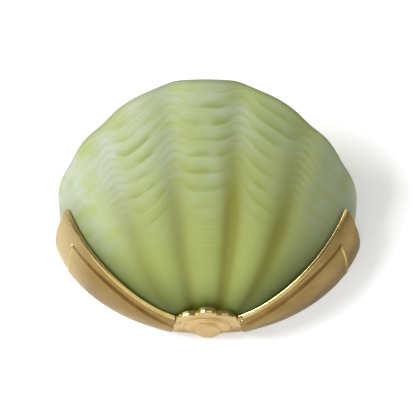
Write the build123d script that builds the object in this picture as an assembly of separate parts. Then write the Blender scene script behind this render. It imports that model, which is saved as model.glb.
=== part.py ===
from build123d import *
import math
import os

# Shell wall light: a fluted pressed-glass shade held in a polished brass gallery, with the lamp
# hidden inside it. +X is to the right, +Z is up and the wall is the plane Y = 0. The light stands
# out from the wall towards -Y, so "depth" below is the distance from the wall, in millimetres.

# ---- glass shade -------------------------------------------------------------------------
RIM_HALF_WIDTH = 148.5       # half width of the shade at its ends
RIM_END_Z = 37.5             # height of the two ends of the rim above the fixing centre
RIM_RISE = 109.0             # rise of the rim from its ends to its middle
RIM_DEPTH = 121.0            # depth of the rim at its middle
GLASS_BACK = 4.3             # depth of the shade's back edge
GLASS_WALL = 4.0
GLASS_FOOT_DROP = 7.0        # how much lower the foot is at the wall
RIM_CURVE = 1.45             # power of the cosine that shapes the rim's height
RIM_FLAT = 4.4               # lift that makes the rim flat across its middle
RIM_FLAT_ANGLE = 13.0        # place of that lift, in degrees round the rim
RIM_FLAT_SPREAD = 6.0
PLAN_CURVE = 0.85            # power of the cosine that shapes the rim's depth
PROFILE_MIDDLE = 1.66        # roundness of the front profile at the middle
PROFILE_SIDE = 2.30          # roundness of the profile at the sides
EDGE_ROUND = 2.2             # roundness of the back edge
FLUTE_ANGLES = (14.0, 43.0, 64.0)   # valleys on each side, in degrees round the rim
FLUTE_HALF_ANGLE = 4.2
FLUTE_SHARPNESS = 2.5        # power that gives each valley its flat bottom and steeper sides
FLUTE_DEPTH = 5.0
LOBE_RISE = 1.8              # crown of each lobe between two valleys
LOBE_EDGES = (0.0,) + FLUTE_ANGLES + (91.0,)
GRID_ROUND = 72              # steps of the glass surface round the rim
GRID_UP = 12                 # steps from foot to rim

# ---- brass gallery -----------------------------------------------------------------------
GALLERY_MARGIN = 9.5            # the gallery's wall outline stands this far outside the shade
WALL_CURVE_HALF_WIDTH = RIM_HALF_WIDTH + GALLERY_MARGIN     # the wall outline is part of an ellipse
WALL_CURVE_HALF_HEIGHT = 118.0
WALL_CURVE_Z = 20.0
MOTIF_WALL_Z = WALL_CURVE_Z - WALL_CURVE_HALF_HEIGHT - 0.5
UMBO_Z = MOTIF_WALL_Z + 6.5     # height where all flutes of the shade would meet
GLASS_FOOT_Z = MOTIF_WALL_Z + 24.3      # height of the shade's open foot at the middle
WING_WALL_INNER_X = 18.0
WING_WALL_OUTER_X = WALL_CURVE_HALF_WIDTH - 6.5
LIP_VERTEX_Z = MOTIF_WALL_Z + 14.5      # the lip is a parabola in front view, turned up at its tip
LIP_INNER_X = 20.0
LIP_OUTER_X = RIM_HALF_WIDTH - 14.5
LIP_END_Z = 26.4
LIP_TIP_RISE = 11.7
LIP_TIP_POWER = 12              # the higher, the nearer to the tip the lip turns up
LIP_FOCAL = LIP_OUTER_X ** 2 / (LIP_END_Z - LIP_TIP_RISE - LIP_VERTEX_Z)
WING_THICKNESS = 2.6
WING_BOW = 5.6                  # how far the wing's section bows out at the middle of its width
LIP_GAP = 0.6                   # between the lip and the glass
WING_STATIONS = 8
PANEL_START = 0.03              # the raised panel along the wing, as shares of its length
PANEL_END = 0.905
PANEL_EDGE = 0.03               # the panel across the wing, as shares of its width from the wall
PANEL_SHARE = 0.62
PANEL_SWELL = 0.52              # the panel takes more of the width towards the wing's middle
PANEL_HEIGHT = 1.3
GROOVE_START = 0.06
GROOVE_WIDTH = 3.4
GROOVE_DEPTH = 1.3

# ---- centre motif ------------------------------------------------------------------------
MOTIF_SLOPE = 22.0              # degrees from the horizontal
MOTIF_PLATE = 2.8
MOTIF_CREST = 5.6               # thickness of the scalloped front edge
MOTIF_CREST_WIDTH = 5.0
MOTIF_STEP = 2.2                # height of each upper tier
MOTIF_FRONT = 62.0              # reach of the middle lobe along the slope
MOTIF_HALF_WIDTH = 36.5
MIDDLE_TIER_RADIUS = 24.5
MIDDLE_TIER_CENTRE = 31.0
INNER_TIER_HALF_WIDTH = 14.3
INNER_TIER_HALF_LENGTH = 17.8
INNER_TIER_CENTRE = 22.0
MOTIF_GAP = 0.3                 # between the motif's edge and the wings

# ---- frame and wall plate ----------------------------------------------------------------
PLATE_THICKNESS = 2.0
FRAME_THICKNESS = 2.0
FRAME_INSET = 5.5               # from the wall outline of the wings to the frame's edge
FRAME_BAND = 21.0
FRAME_TOP_Z = -4.0
FRAME_BAR_HALF_WIDTH = WALL_CURVE_HALF_WIDTH - 15.0
BAR_HALF_HEIGHT = 14.0
STEM_HALF_WIDTH = 17.0
PAD_TOP_Z = 36.0
WALL_PLATE_HALF_WIDTH = 56.0
WALL_PLATE_HALF_HEIGHT = 14.0
FIXING_SPACING = 50.8
FIXING_SLOT_WIDTH = 5.0
FIXING_SLOT_LENGTH = 12.0
CABLE_HOLE_RADIUS = 9.0
STUD_X = 44.0
STUD_RADIUS = 2.5
STUD_LENGTH = 16.0
EAR_ANGLES = (36.0, 62.0)       # places of the wing ears round the wall outline
EAR_WIDTH = 14.0
EAR_LENGTH = 25.0
EAR_SCREW_INSET = 18.5
SCREW_RADIUS = 2.0
SMALL_SCREW_RADIUS = 1.5
SCREW_GAP = 0.05                # a screw or tube in its hole
TURN_GAP = 0.06                 # a turning piece on its shaft
FIT = 0.3                       # gap between rounded surfaces that do not fit
STRAP_THICKNESS = 1.5
STRAP_HALF_WIDTH = 13.0
STRAP_TOP_Z = MOTIF_WALL_Z + 34.5
STRAP_SCREW_Z = MOTIF_WALL_Z + 18.5
STRAP_REACH = 34.0
MOTIF_SCREW_X = 8.0
MOTIF_SCREW_REACH = 17.0
MOTIF_SCREW_END = 2.4           # how far the screw holes go into the upper tiers
FOOT_PAD_REACH = 41.5
FOOT_PAD_WIDTH = 6.0
FOOT_PAD_HALF_WIDTH = 9.0
FOOT_PAD_HEIGHT = 5.1

# ---- lamp --------------------------------------------------------------------------------
LAMP_DEPTH = 42.0
ARM_Z = -40.5                   # underside of the arm's tongue
ARM_THICKNESS = 2.5
ARM_HALF_WIDTH = 12.0
ARM_TOP_Z = -12.0
ARM_SCREW_X = 8.0
ARM_SCREW_Z = -24.0
NIPPLE_RADIUS = 5.0
NIPPLE_BORE = 4.0
NIPPLE_LENGTH = 15.0
NIPPLE_BELOW = 7.0
HOLDER_RADIUS = 13.5
HOLDER_TOP_Z = 12.0
HOLDER_CAP_HEIGHT = 20.0
HOLDER_WALL = 1.8
HOLDER_FLOOR = 4.0
WASHER_RADIUS = 8.0
WASHER_THICKNESS = 1.0
NUT_FLAT = 14.0
NUT_HEIGHT = 3.5
SHELL_WALL = 0.5
CAP_RADIUS = 6.9
CAP_LENGTH = 22.0
BULB_RADIUS = 22.5
BULB_CENTRE_Z = 41.0
BULB_GLASS_WALL = 0.9
BULB_NECK_RADIUS = 6.6
BULB_SEAT_Z = 14.0              # where the bulb's glass meets its cap
STEM_TOP_Z = 33.0

# ---- wiring ------------------------------------------------------------------------------
BLOCK_WIDTH = 30.0
BLOCK_HEIGHT = 16.0
BLOCK_DEPTH = 13.0
BLOCK_Z = 25.0
POLE_PITCH = 9.0
POLE_DEPTH = 11.0
SLEEVE_RADIUS = 2.3
SLEEVE_BORE = 1.5
BLOCK_SCREW_RADIUS = 1.1
LEAD_RADIUS = 1.1
LEAD_DEPTH = 20.0               # depth of the leads behind the lampholder
LEAD_SPREAD = 1.6
LEAD_SLOT_HALF_WIDTH = 5.0
EARTH_X = 28.0
EARTH_Z = 4.0
TAG_LENGTH = 7.0
TAG_THICKNESS = 0.8
GROMMET_NECK = 5.5
GROMMET_BORE = 4.0

# ---- fixings that turn -------------------------------------------------------------------
THUMB_RADIUS = 8.0
THUMB_HEIGHT = 8.0
THUMB_FLUTES = 18
CLIP_ANGLE = 72.0               # place of each shade clip round the wall outline
CLIP_INSET = 29.2
CLIP_LENGTH = 8.5
CLIP_WIDTH = 9.0
CLIP_THICKNESS = 1.5
CLIP_GAP = 0.2
LUG_START = 9.0                 # the shade's lugs, measured from the clip's screw
LUG_END = 16.0
LUG_HALF_HEIGHT = 5.0
LUG_DEPTH = 5.0

FRAME_BACK = PLATE_THICKNESS
FRAME_FRONT = FRAME_BACK + FRAME_THICKNESS
SLOPE = math.radians(MOTIF_SLOPE)
TONGUE_TOP_Z = ARM_Z + ARM_THICKNESS


def at(x, depth, z):
    """Point given by its distance from the wall."""
    return Vector(x, -depth, z)


def back_disc(x, z, radius, near, far):
    """Round bar along the depth, from one depth to another."""
    length = far - near
    plane = Plane(origin=at(x, near, z), x_dir=(1, 0, 0), z_dir=(0, -1, 0))
    return extrude(plane * Circle(radius), length)


def upright(x, depth, radius, low, high):
    """Round bar along Z."""
    return Pos(x, -depth, low) * Cylinder(radius, high - low, align=(Align.CENTER, Align.CENTER, Align.MIN))


def block(x0, x1, near, far, z0, z1):
    """Plain block between two depths."""
    return Pos(x0, -far, z0) * Box(x1 - x0, far - near, z1 - z0, align=(Align.MIN, Align.MIN, Align.MIN))


def back_sketch(sketch, near, far):
    """Flat outline in X and Z, given its thickness along the depth."""
    plane = Plane(origin=at(0, near, 0), x_dir=(1, 0, 0), z_dir=(0, -1, 0))
    return extrude(plane * sketch, far - near)


# ---- glass -------------------------------------------------------------------------------
def round_profile(k, power):
    """Superellipse quarter: 0 at the foot, 1 at the rim, with an upright end."""
    return (1 - (1 - k) ** power) ** (1 / power)


def flute_wave(degrees):
    """-1 in a valley, up to LOBE_RISE / FLUTE_DEPTH on a lobe's crown."""
    valley = sum(math.exp(-abs((abs(degrees) - middle) / FLUTE_HALF_ANGLE) ** FLUTE_SHARPNESS)
                 for middle in FLUTE_ANGLES)
    for low, high in zip(LOBE_EDGES, LOBE_EDGES[1:]):
        if low <= abs(degrees) <= high:
            start = low or -high
            crown = math.sin(math.pi * (abs(degrees) - start) / (high - start)) ** 2
    return crown * LOBE_RISE / FLUTE_DEPTH - valley


def plain_point(degrees, k):
    """Point of the smooth shade, before its flutes, on the ray at this angle."""
    side, front = math.sin(math.radians(degrees)), max(math.cos(math.radians(degrees)), 0.0)
    rim_x = RIM_HALF_WIDTH * side
    flat = RIM_FLAT * math.exp(-((abs(degrees) - RIM_FLAT_ANGLE) / RIM_FLAT_SPREAD) ** 2)
    rim_z = RIM_END_Z + RIM_RISE * front ** RIM_CURVE + LOBE_RISE * flute_wave(degrees) * front + flat
    rim_out = (RIM_DEPTH - GLASS_BACK) * front ** PLAN_CURVE
    edge_share = abs(side) ** 8
    spread = 0.37 + 0.14 * abs(side)
    reach = (1 - edge_share) * k ** spread + edge_share * round_profile(k, EDGE_ROUND)
    profile = PROFILE_MIDDLE + (PROFILE_SIDE - PROFILE_MIDDLE) * side ** 2
    return at(rim_x * reach, GLASS_BACK + rim_out * round_profile(k, profile), UMBO_Z + (rim_z - UMBO_Z) * k)


def plain_normal(degrees, k):
    """Outward direction of the smooth shade."""
    step = 0.6
    low, high = max(degrees - step, -89.9), min(degrees + step, 89.9)
    k_low, k_high = max(k - 0.01, 0.002), min(k + 0.01, 1.0)
    across = plain_point(high, k) - plain_point(low, k)
    along = plain_point(degrees, k_high) - plain_point(degrees, k_low)
    return across.cross(along).normalized()


def foot_share(degrees):
    """Share of the ray where the glass starts."""
    drop = GLASS_FOOT_DROP * abs(math.sin(math.radians(degrees))) ** 4
    return (GLASS_FOOT_Z - drop - UMBO_Z) / (plain_point(degrees, 1.0).Z - UMBO_Z)


def flute_share(k):
    """Depth of the flutes along a ray: growing from the foot and easing off at the rim."""
    return k ** 0.6 * (1.2 - 0.5 * k ** 3)


def glass_point(degrees, k, inward):
    """Point of the fluted shade, this far inside its outer face; the back edges are flat."""
    front = max(math.cos(math.radians(degrees)), 0.0)
    flute = FLUTE_DEPTH * flute_wave(degrees) * flute_share(k) * front
    softened = flute * (1 - 0.25 * inward / GLASS_WALL)
    point = plain_point(degrees, k) + plain_normal(degrees, k) * (softened - inward)
    back_edge = abs(degrees) >= 90
    return Vector(point.X, -GLASS_BACK if back_edge else min(point.Y, -GLASS_BACK), point.Z)


def glass_ring(degrees):
    """Section of the glass along one ray: outer face, rim, inner face and foot."""
    foot = foot_share(degrees)
    shares = [foot + (1 - foot) * (j / GRID_UP) ** 1.25 for j in range(GRID_UP + 1)]
    outer = [glass_point(degrees, k, 0.0) for k in shares]
    inner = [glass_point(degrees, k, GLASS_WALL) for k in reversed(shares)]
    steps = [j / GRID_UP for j in range(GRID_UP + 1)]
    return Wire([
        Edge.make_spline(outer, parameters=steps),
        Edge.make_line(outer[-1], inner[0]),
        Edge.make_spline(inner, parameters=steps),
        Edge.make_line(inner[-1], outer[0]),
    ])


def make_glass_shade():
    """Fluted shade, lofted through its rays from one back edge to the other."""
    return Solid.make_loft([glass_ring(-90 + 180 * i / GRID_ROUND) for i in range(GRID_ROUND + 1)])


# ---- brass gallery -----------------------------------------------------------------------
def wall_point(x, inset=0.0):
    """Point of the wings' outline on the wall, on the right side."""
    half_width, half_height = WALL_CURVE_HALF_WIDTH - inset, WALL_CURVE_HALF_HEIGHT - inset
    return at(x, 0.0, WALL_CURVE_Z - half_height * math.sqrt(1 - (x / half_width) ** 2))


def lip_point(x):
    """Point of the lip over this X: on the parabola in front view, just outside the glass."""
    z = LIP_VERTEX_Z + x * x / LIP_FOCAL + LIP_TIP_RISE * (x / LIP_OUTER_X) ** LIP_TIP_POWER
    low, high = 20.0, 89.0
    for _ in range(40):
        degrees = (low + high) / 2
        k = (z - UMBO_Z) / (plain_point(degrees, 1.0).Z - UMBO_Z)
        if plain_point(degrees, k).X < x:
            low = degrees
        else:
            high = degrees
    crown = LOBE_RISE * flute_share(k)
    return plain_point(degrees, k) + plain_normal(degrees, k) * (crown + LIP_GAP + WING_THICKNESS)


def wing_station(share):
    """Wall point, lip point, unit chord and outward unit normal of the wing at a share of it."""
    def ends(part):
        wall = wall_point(WING_WALL_INNER_X + (WING_WALL_OUTER_X - WING_WALL_INNER_X) * part)
        return wall, lip_point(LIP_INNER_X + (LIP_OUTER_X - LIP_INNER_X) * part)

    wall, lip = ends(share)
    before, after = ends(max(share - 0.02, 0.0)), ends(min(share + 0.02, 1.0))
    along = (after[0] + after[1] - before[0] - before[1]).normalized()
    chord = (lip - wall).normalized()
    return wall, lip, chord, along.cross(chord).normalized()


def on_wing(station, share, lift):
    """Point of the bowed wing: share of its width from the wall, height above its outer face."""
    wall, lip, chord, out = station
    bow = 4 * WING_BOW * share * (1 - share)
    return wall + chord * ((lip - wall).length * share) + out * (bow + lift)


def wing_section(station, low, high, under, over):
    """Closed section of the wing between two shares of its width and two heights."""
    middle = (low + high) / 2
    outer = [on_wing(station, share, over) for share in (low, middle, high)]
    inner = [on_wing(station, share, under) for share in (high, middle, low)]
    return Wire([
        Edge.make_three_point_arc(*outer),
        Edge.make_line(outer[2], inner[0]),
        Edge.make_three_point_arc(*inner),
        Edge.make_line(inner[2], outer[0]),
    ])


def stations_along(first, last):
    """Shares of the wing's length, spread evenly between two of them."""
    return [first + (last - first) * i / (WING_STATIONS - 1) for i in range(WING_STATIONS)]


def wing_blank():
    """Right wing's sheet, lofted through its sections from the middle to the tip."""
    return Solid.make_loft([wing_section(wing_station(length), -0.03, 1.0, -WING_THICKNESS, 0.0)
                            for length in stations_along(0.0, 1.0)])


def panel_share(length):
    """Share of the wing's width where the panel ends, at this share of the wing's length."""
    return PANEL_SHARE + PANEL_SWELL * length * (1.2 - length)


def wing_panel():
    """Raised panel along the wing's wall side."""
    return Solid.make_loft([
        wing_section(wing_station(length), PANEL_EDGE, panel_share(length), -1.0, PANEL_HEIGHT)
        for length in stations_along(PANEL_START, PANEL_END)])


def wing_groove():
    """Groove beside the panel's upper edge, deepest half way along."""
    rings = []
    for i, length in enumerate(stations_along(GROOVE_START, PANEL_END)):
        station = wing_station(length)
        width = (station[1] - station[0]).length
        size = 0.15 + 0.85 * math.sin(math.pi * i / (WING_STATIONS - 1))
        near, far = panel_share(length) - 0.5 / width, panel_share(length) + GROOVE_WIDTH * size / width
        rings.append(Wire.make_polygon([
            on_wing(station, near, PANEL_HEIGHT + 1),
            on_wing(station, far, PANEL_HEIGHT + 1),
            on_wing(station, (near + far) / 2, -GROOVE_DEPTH * size),
        ], close=True))
    return Solid.make_loft(rings)


def wing_ear(angle):
    """Ear behind the frame, square to the wall outline, with its screw hole."""
    turn = math.radians(angle)
    foot = wall_point(WALL_CURVE_HALF_WIDTH * math.sin(turn))
    inward = ear_direction(angle)
    middle = foot + inward * (EAR_LENGTH / 2 + 1.0)
    tab = Location(Plane(origin=middle, x_dir=inward, z_dir=(0, -1, 0))) * Box(
        EAR_LENGTH - 2, EAR_WIDTH, PLATE_THICKNESS - 0.1, align=(Align.CENTER, Align.CENTER, Align.MIN))
    hole = foot + inward * EAR_SCREW_INSET
    return tab - back_disc(hole.X, hole.Z, SCREW_RADIUS, -1.0, PLATE_THICKNESS + 1.0)


def ear_direction(angle):
    """Inward direction, square to the wall outline at this angle."""
    turn = math.radians(angle)
    return Vector(-WALL_CURVE_HALF_HEIGHT * math.sin(turn), 0,
                  WALL_CURVE_HALF_WIDTH * math.cos(turn)).normalized()


def ear_screw_place(angle):
    foot = wall_point(WALL_CURVE_HALF_WIDTH * math.sin(math.radians(angle)))
    return foot + ear_direction(angle) * EAR_SCREW_INSET


def make_right_wing():
    wing = wing_blank() + wing_panel() - wing_groove()
    wing = wing - block(-200, 200, -20, 0, -200, 200)
    wing = wing - motif_body(MOTIF_GAP, 30.0)
    for angle in EAR_ANGLES:
        wing = wing + wing_ear(angle)
    return wing


# ---- centre motif ------------------------------------------------------------------------
def motif_plane(lift):
    """Plane of the motif's outer face, lifted outwards; its X is right and its Y runs forward."""
    outward = Vector(0, -math.sin(SLOPE), -math.cos(SLOPE))
    origin = at(0, 0, MOTIF_WALL_Z) + outward * lift
    return Plane(origin=origin, x_dir=(1, 0, 0), z_dir=outward)


def motif_outline(grow):
    """Fan with one middle lobe, two side lobes and straight skirts."""
    side = [(MOTIF_HALF_WIDTH, -2.0), (MOTIF_HALF_WIDTH, 18.0), (31.0, 38.6)]
    lobe, notch = (21.0, 52.1), (10.5, 53.2)
    with BuildSketch() as sketch:
        with BuildLine():
            for sign in (1, -1):
                right = [(sign * x, y) for x, y in side]
                Line(right[0], right[1])
                ThreePointArc(right[1], (sign * 34.9, 29.0), right[2])
                ThreePointArc(right[2], (sign * lobe[0], lobe[1]), (sign * notch[0], notch[1]))
            ThreePointArc(notch, (0, MOTIF_FRONT), (-notch[0], notch[1]))
            Line((-MOTIF_HALF_WIDTH, -2.0), (MOTIF_HALF_WIDTH, -2.0))
        make_face()
        if grow:
            offset(amount=grow, kind=Kind.ARC)
    return sketch.sketch


def motif_body(grow, thickness):
    """The fan as a slab that reaches inwards from its outer face."""
    plane = motif_plane(thickness / 2 if grow else 0.0)
    return extrude(plane * motif_outline(grow), -thickness)


def tier(outline, low, high):
    """Tier of the fan between two heights above its face."""
    return extrude(motif_plane(low) * outline, high - low)


def make_centre_motif():
    slab = motif_body(0.0, MOTIF_CREST)
    inside = offset(motif_outline(0.0), -MOTIF_CREST_WIDTH, kind=Kind.ARC)
    hollow = extrude(motif_plane(-MOTIF_PLATE) * inside, -MOTIF_CREST)
    skirt = extrude(motif_plane(-MOTIF_PLATE) * (Pos(0, 8.0) * Rectangle(90, 44)), -MOTIF_CREST)
    middle = Pos(0, MIDDLE_TIER_CENTRE) * Circle(MIDDLE_TIER_RADIUS)
    inner = Pos(0, INNER_TIER_CENTRE) * Ellipse(INNER_TIER_HALF_WIDTH, INNER_TIER_HALF_LENGTH)
    motif = slab - hollow - skirt + tier(middle, -1.0, MOTIF_STEP) + tier(inner, -1.0, 2 * MOTIF_STEP)
    motif = motif - block(-60, 60, -40, 0, MOTIF_WALL_Z - 40, MOTIF_WALL_Z + 40)
    return motif - motif_screw_bars(SMALL_SCREW_RADIUS + SCREW_GAP, MOTIF_PLATE + 4, -MOTIF_SCREW_END)


# ---- frame -------------------------------------------------------------------------------
def back_holes(places, radius):
    """Round holes through frame and plate at these (x, z) places."""
    return [back_disc(x, z, radius, -1.0, FRAME_FRONT + 1.0) for x, z in places]


def both_sides(x, z):
    return [(x, z), (-x, z)]


def make_back_frame():
    """Flat steel frame: a band inside the wings, a cross bar and a stem."""
    half_width, half_height = WALL_CURVE_HALF_WIDTH - FRAME_INSET, WALL_CURVE_HALF_HEIGHT - FRAME_INSET
    outer = Pos(0, WALL_CURVE_Z) * Ellipse(half_width, half_height)
    inner = Pos(0, WALL_CURVE_Z) * Ellipse(half_width - FRAME_BAND, half_height - FRAME_BAND)
    lower = Pos(0, FRAME_TOP_Z - half_height) * Rectangle(2 * half_width, 2 * half_height)
    bar = Rectangle(2 * FRAME_BAR_HALF_WIDTH, 2 * BAR_HALF_HEIGHT)
    stem_low = WALL_CURVE_Z - half_height + 4.0
    stem = Pos(0, (stem_low + PAD_TOP_Z) / 2) * Rectangle(2 * STEM_HALF_WIDTH, PAD_TOP_Z - stem_low)
    frame = back_sketch(((outer - inner) & lower) + (bar & outer) + stem, FRAME_BACK, FRAME_FRONT)
    frame = frame - back_holes(both_sides(STUD_X, 0), STUD_RADIUS + FIT)
    frame = frame - back_holes([(0, 0)], GROMMET_NECK)
    ears = [ear_screw_place(angle) for angle in EAR_ANGLES]
    for place in [(ear.X, ear.Z) for ear in ears] + [(clip_pivot().X, clip_pivot().Z)]:
        frame = frame - back_holes(both_sides(*place), SCREW_RADIUS + SCREW_GAP)
    for place in both_sides(ARM_SCREW_X, ARM_SCREW_Z) + both_sides(ARM_SCREW_X, STRAP_SCREW_Z):
        frame = frame - back_holes([place], SMALL_SCREW_RADIUS + SCREW_GAP)
    frame = frame - back_holes([(EARTH_X, EARTH_Z)], SMALL_SCREW_RADIUS + SCREW_GAP)
    return frame - back_holes(both_sides(POLE_PITCH / 2, BLOCK_Z), BLOCK_SCREW_RADIUS + SCREW_GAP)


def make_wall_plate():
    """Slotted bar that is screwed to the wall and carries two studs."""
    outline = RectangleRounded(2 * WALL_PLATE_HALF_WIDTH, 2 * WALL_PLATE_HALF_HEIGHT, 5)
    slot = SlotOverall(FIXING_SLOT_LENGTH, FIXING_SLOT_WIDTH)
    outline = outline - [Pos(x, z) * slot for x, z in both_sides(FIXING_SPACING / 2, 0)]
    plate = back_sketch(outline, 0, PLATE_THICKNESS)
    plate = plate - back_holes(both_sides(STUD_X, 0), STUD_RADIUS + SCREW_GAP)
    return plate - back_holes([(0, 0)], CABLE_HOLE_RADIUS)


def make_studs():
    """Two studs pressed into the wall plate."""
    return [back_disc(x, z, STUD_RADIUS, 0, STUD_LENGTH) for x, z in both_sides(STUD_X, 0)]


def screw(x, z, seat, length, radius):
    """Cheese-head screw with a slot, whose head sits on a face at this depth."""
    head_radius, head_height = 1.8 * radius, 1.1 * radius
    head = back_disc(x, z, head_radius, seat, seat + head_height)
    slot = block(x - head_radius, x + head_radius, seat + head_height / 2, seat + head_height + 1,
                 z - radius / 4, z + radius / 4)
    return (head - slot) + back_disc(x, z, radius, seat - length, seat)


def make_ear_screws():
    places = [ear_screw_place(angle) for angle in EAR_ANGLES]
    return [screw(sign * place.X, place.Z, FRAME_FRONT, FRAME_FRONT - 0.5, SCREW_RADIUS)
            for place in places for sign in (-1, 1)]


# ---- shade clips -------------------------------------------------------------------------
def clip_pivot():
    """Place of the right clip's screw, inwards from the wall outline."""
    foot = wall_point(WALL_CURVE_HALF_WIDTH * math.sin(math.radians(CLIP_ANGLE)))
    return foot + ear_direction(CLIP_ANGLE) * CLIP_INSET


def glass_lug():
    """Lug on the inside of the shade's right back edge, behind the clip's finger."""
    pivot = clip_pivot()
    return block(pivot.X + LUG_START, pivot.X + LUG_END, GLASS_BACK, GLASS_BACK + LUG_DEPTH,
                 pivot.Z - LUG_HALF_HEIGHT, pivot.Z + LUG_HALF_HEIGHT)


def make_shade_clip():
    """Right turn clip: a boss on the frame and a finger over the lug of the shade."""
    pivot = clip_pivot()
    top = GLASS_BACK + LUG_DEPTH + FIT
    boss = back_disc(pivot.X, pivot.Z, CLIP_WIDTH / 2, FRAME_FRONT + CLIP_GAP, top + CLIP_THICKNESS)
    outline = Pos(pivot.X + CLIP_LENGTH / 2, pivot.Z) * SlotCenterToCenter(CLIP_LENGTH, CLIP_WIDTH)
    finger = back_sketch(outline, top, top + CLIP_THICKNESS)
    return boss + finger - back_disc(pivot.X, pivot.Z, SCREW_RADIUS + TURN_GAP, 0, top + CLIP_THICKNESS + 1)


def make_clip_screws():
    pivot = clip_pivot()
    seat = GLASS_BACK + LUG_DEPTH + FIT + CLIP_THICKNESS + CLIP_GAP
    return [screw(x, z, seat, seat - FRAME_BACK, SCREW_RADIUS) for x, z in both_sides(pivot.X, pivot.Z)]


def make_thumb_nut():
    """Right thumb nut, fluted round its edge, on its stud."""
    near, far = FRAME_FRONT + CLIP_GAP, FRAME_FRONT + CLIP_GAP + THUMB_HEIGHT
    outline = Circle(THUMB_RADIUS) - PolarLocations(THUMB_RADIUS + 0.3, THUMB_FLUTES) * Circle(0.9)
    body = back_sketch(Pos(STUD_X, 0) * outline, near, far)
    body = body + back_disc(STUD_X, 0, THUMB_RADIUS * 0.7, far, far + 1.5)
    return body - back_disc(STUD_X, 0, STUD_RADIUS + TURN_GAP, 0, far + 5)


# ---- motif strap and pads ----------------------------------------------------------------
def on_slope(reach, lift):
    """Depth and height of a point of the motif's middle plane: reach along the slope, lift inwards."""
    return (reach * math.cos(SLOPE) - lift * math.sin(SLOPE),
            MOTIF_WALL_Z + reach * math.sin(SLOPE) + lift * math.cos(SLOPE))


def make_motif_strap():
    """Bent strap that carries the motif from the frame's stem."""
    def corner(depth, lift):
        reach = (depth + lift * math.sin(SLOPE)) / math.cos(SLOPE)
        return (depth, on_slope(reach, lift)[1])

    inside, outside = MOTIF_PLATE + STRAP_THICKNESS, MOTIF_PLATE
    outline = [(FRAME_FRONT, STRAP_TOP_Z), corner(FRAME_FRONT, outside), on_slope(STRAP_REACH, outside),
               on_slope(STRAP_REACH, inside), corner(FRAME_FRONT + STRAP_THICKNESS, inside),
               (FRAME_FRONT + STRAP_THICKNESS, STRAP_TOP_Z)]
    face = make_face(Wire.make_polygon([at(-STRAP_HALF_WIDTH, depth, z) for depth, z in outline], close=True))
    strap = extrude(face, amount=2 * STRAP_HALF_WIDTH, dir=(1, 0, 0))
    for x, z in both_sides(ARM_SCREW_X, STRAP_SCREW_Z):
        strap = strap - back_disc(x, z, SMALL_SCREW_RADIUS + SCREW_GAP, 0, 20)
    return strap - motif_screw_bars(SMALL_SCREW_RADIUS + SCREW_GAP, MOTIF_PLATE + 4, -MOTIF_SCREW_END)


def motif_screw_bars(radius, inner, outer):
    """Round bars square to the motif, between two heights inwards of its face."""
    bars = [extrude(motif_plane(-inner) * (Pos(sign * MOTIF_SCREW_X, MOTIF_SCREW_REACH) * Circle(radius)),
                    inner - outer) for sign in (-1, 1)]
    return bars


def make_motif_screws():
    inside = MOTIF_PLATE + STRAP_THICKNESS
    heads = motif_screw_bars(1.8 * SMALL_SCREW_RADIUS, inside + 1.6, inside)
    shanks = motif_screw_bars(SMALL_SCREW_RADIUS, inside, -MOTIF_SCREW_END + 0.4)
    return [head + shank for head, shank in zip(heads, shanks)]


def make_foot_pad():
    """Rubber pad on the motif's inner face, under the shade's open foot."""
    plane = motif_plane(-MOTIF_PLATE - FOOT_PAD_HEIGHT)
    return extrude(plane * (Pos(0, FOOT_PAD_REACH) * Rectangle(2 * FOOT_PAD_HALF_WIDTH, FOOT_PAD_WIDTH)),
                   FOOT_PAD_HEIGHT)


# ---- lamp --------------------------------------------------------------------------------
def make_arm():
    """Bracket on the frame's stem with a tongue that carries the lampholder."""
    flange = block(-ARM_HALF_WIDTH, ARM_HALF_WIDTH, FRAME_FRONT, FRAME_FRONT + ARM_THICKNESS, ARM_Z, ARM_TOP_Z)
    tongue = block(-ARM_HALF_WIDTH, ARM_HALF_WIDTH, FRAME_FRONT, LAMP_DEPTH, ARM_Z, TONGUE_TOP_Z)
    tongue = tongue + upright(0, LAMP_DEPTH, ARM_HALF_WIDTH, ARM_Z, TONGUE_TOP_Z)
    arm = flange + tongue - upright(0, LAMP_DEPTH, NIPPLE_RADIUS + SCREW_GAP, ARM_Z - 1, TONGUE_TOP_Z + 1)
    arm = arm - block(-LEAD_SLOT_HALF_WIDTH, LEAD_SLOT_HALF_WIDTH, LEAD_DEPTH - 5, LEAD_DEPTH + 5,
                      ARM_Z - 1, TONGUE_TOP_Z + 1)
    return arm - [back_disc(x, z, SMALL_SCREW_RADIUS + SCREW_GAP, 0, 20)
                  for x, z in both_sides(ARM_SCREW_X, ARM_SCREW_Z)]


def make_arm_screws():
    arm = [screw(x, z, FRAME_FRONT + ARM_THICKNESS, ARM_THICKNESS + FRAME_THICKNESS, SMALL_SCREW_RADIUS)
           for x, z in both_sides(ARM_SCREW_X, ARM_SCREW_Z)]
    strap = [screw(x, z, FRAME_FRONT + STRAP_THICKNESS, STRAP_THICKNESS + FRAME_THICKNESS, SMALL_SCREW_RADIUS)
             for x, z in both_sides(ARM_SCREW_X, STRAP_SCREW_Z)]
    return arm + strap


def make_nipple():
    low = ARM_Z - NIPPLE_BELOW
    tube = upright(0, LAMP_DEPTH, NIPPLE_RADIUS, low, low + NIPPLE_LENGTH)
    return tube - upright(0, LAMP_DEPTH, NIPPLE_BORE, low - 1, low + NIPPLE_LENGTH + 1)


def nipple_hole(low, high):
    return upright(0, LAMP_DEPTH, NIPPLE_RADIUS + SCREW_GAP, low, high)


def make_nipple_washer():
    low = ARM_Z - WASHER_THICKNESS
    return upright(0, LAMP_DEPTH, WASHER_RADIUS, low, ARM_Z) - nipple_hole(low - 1, ARM_Z + 1)


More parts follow.
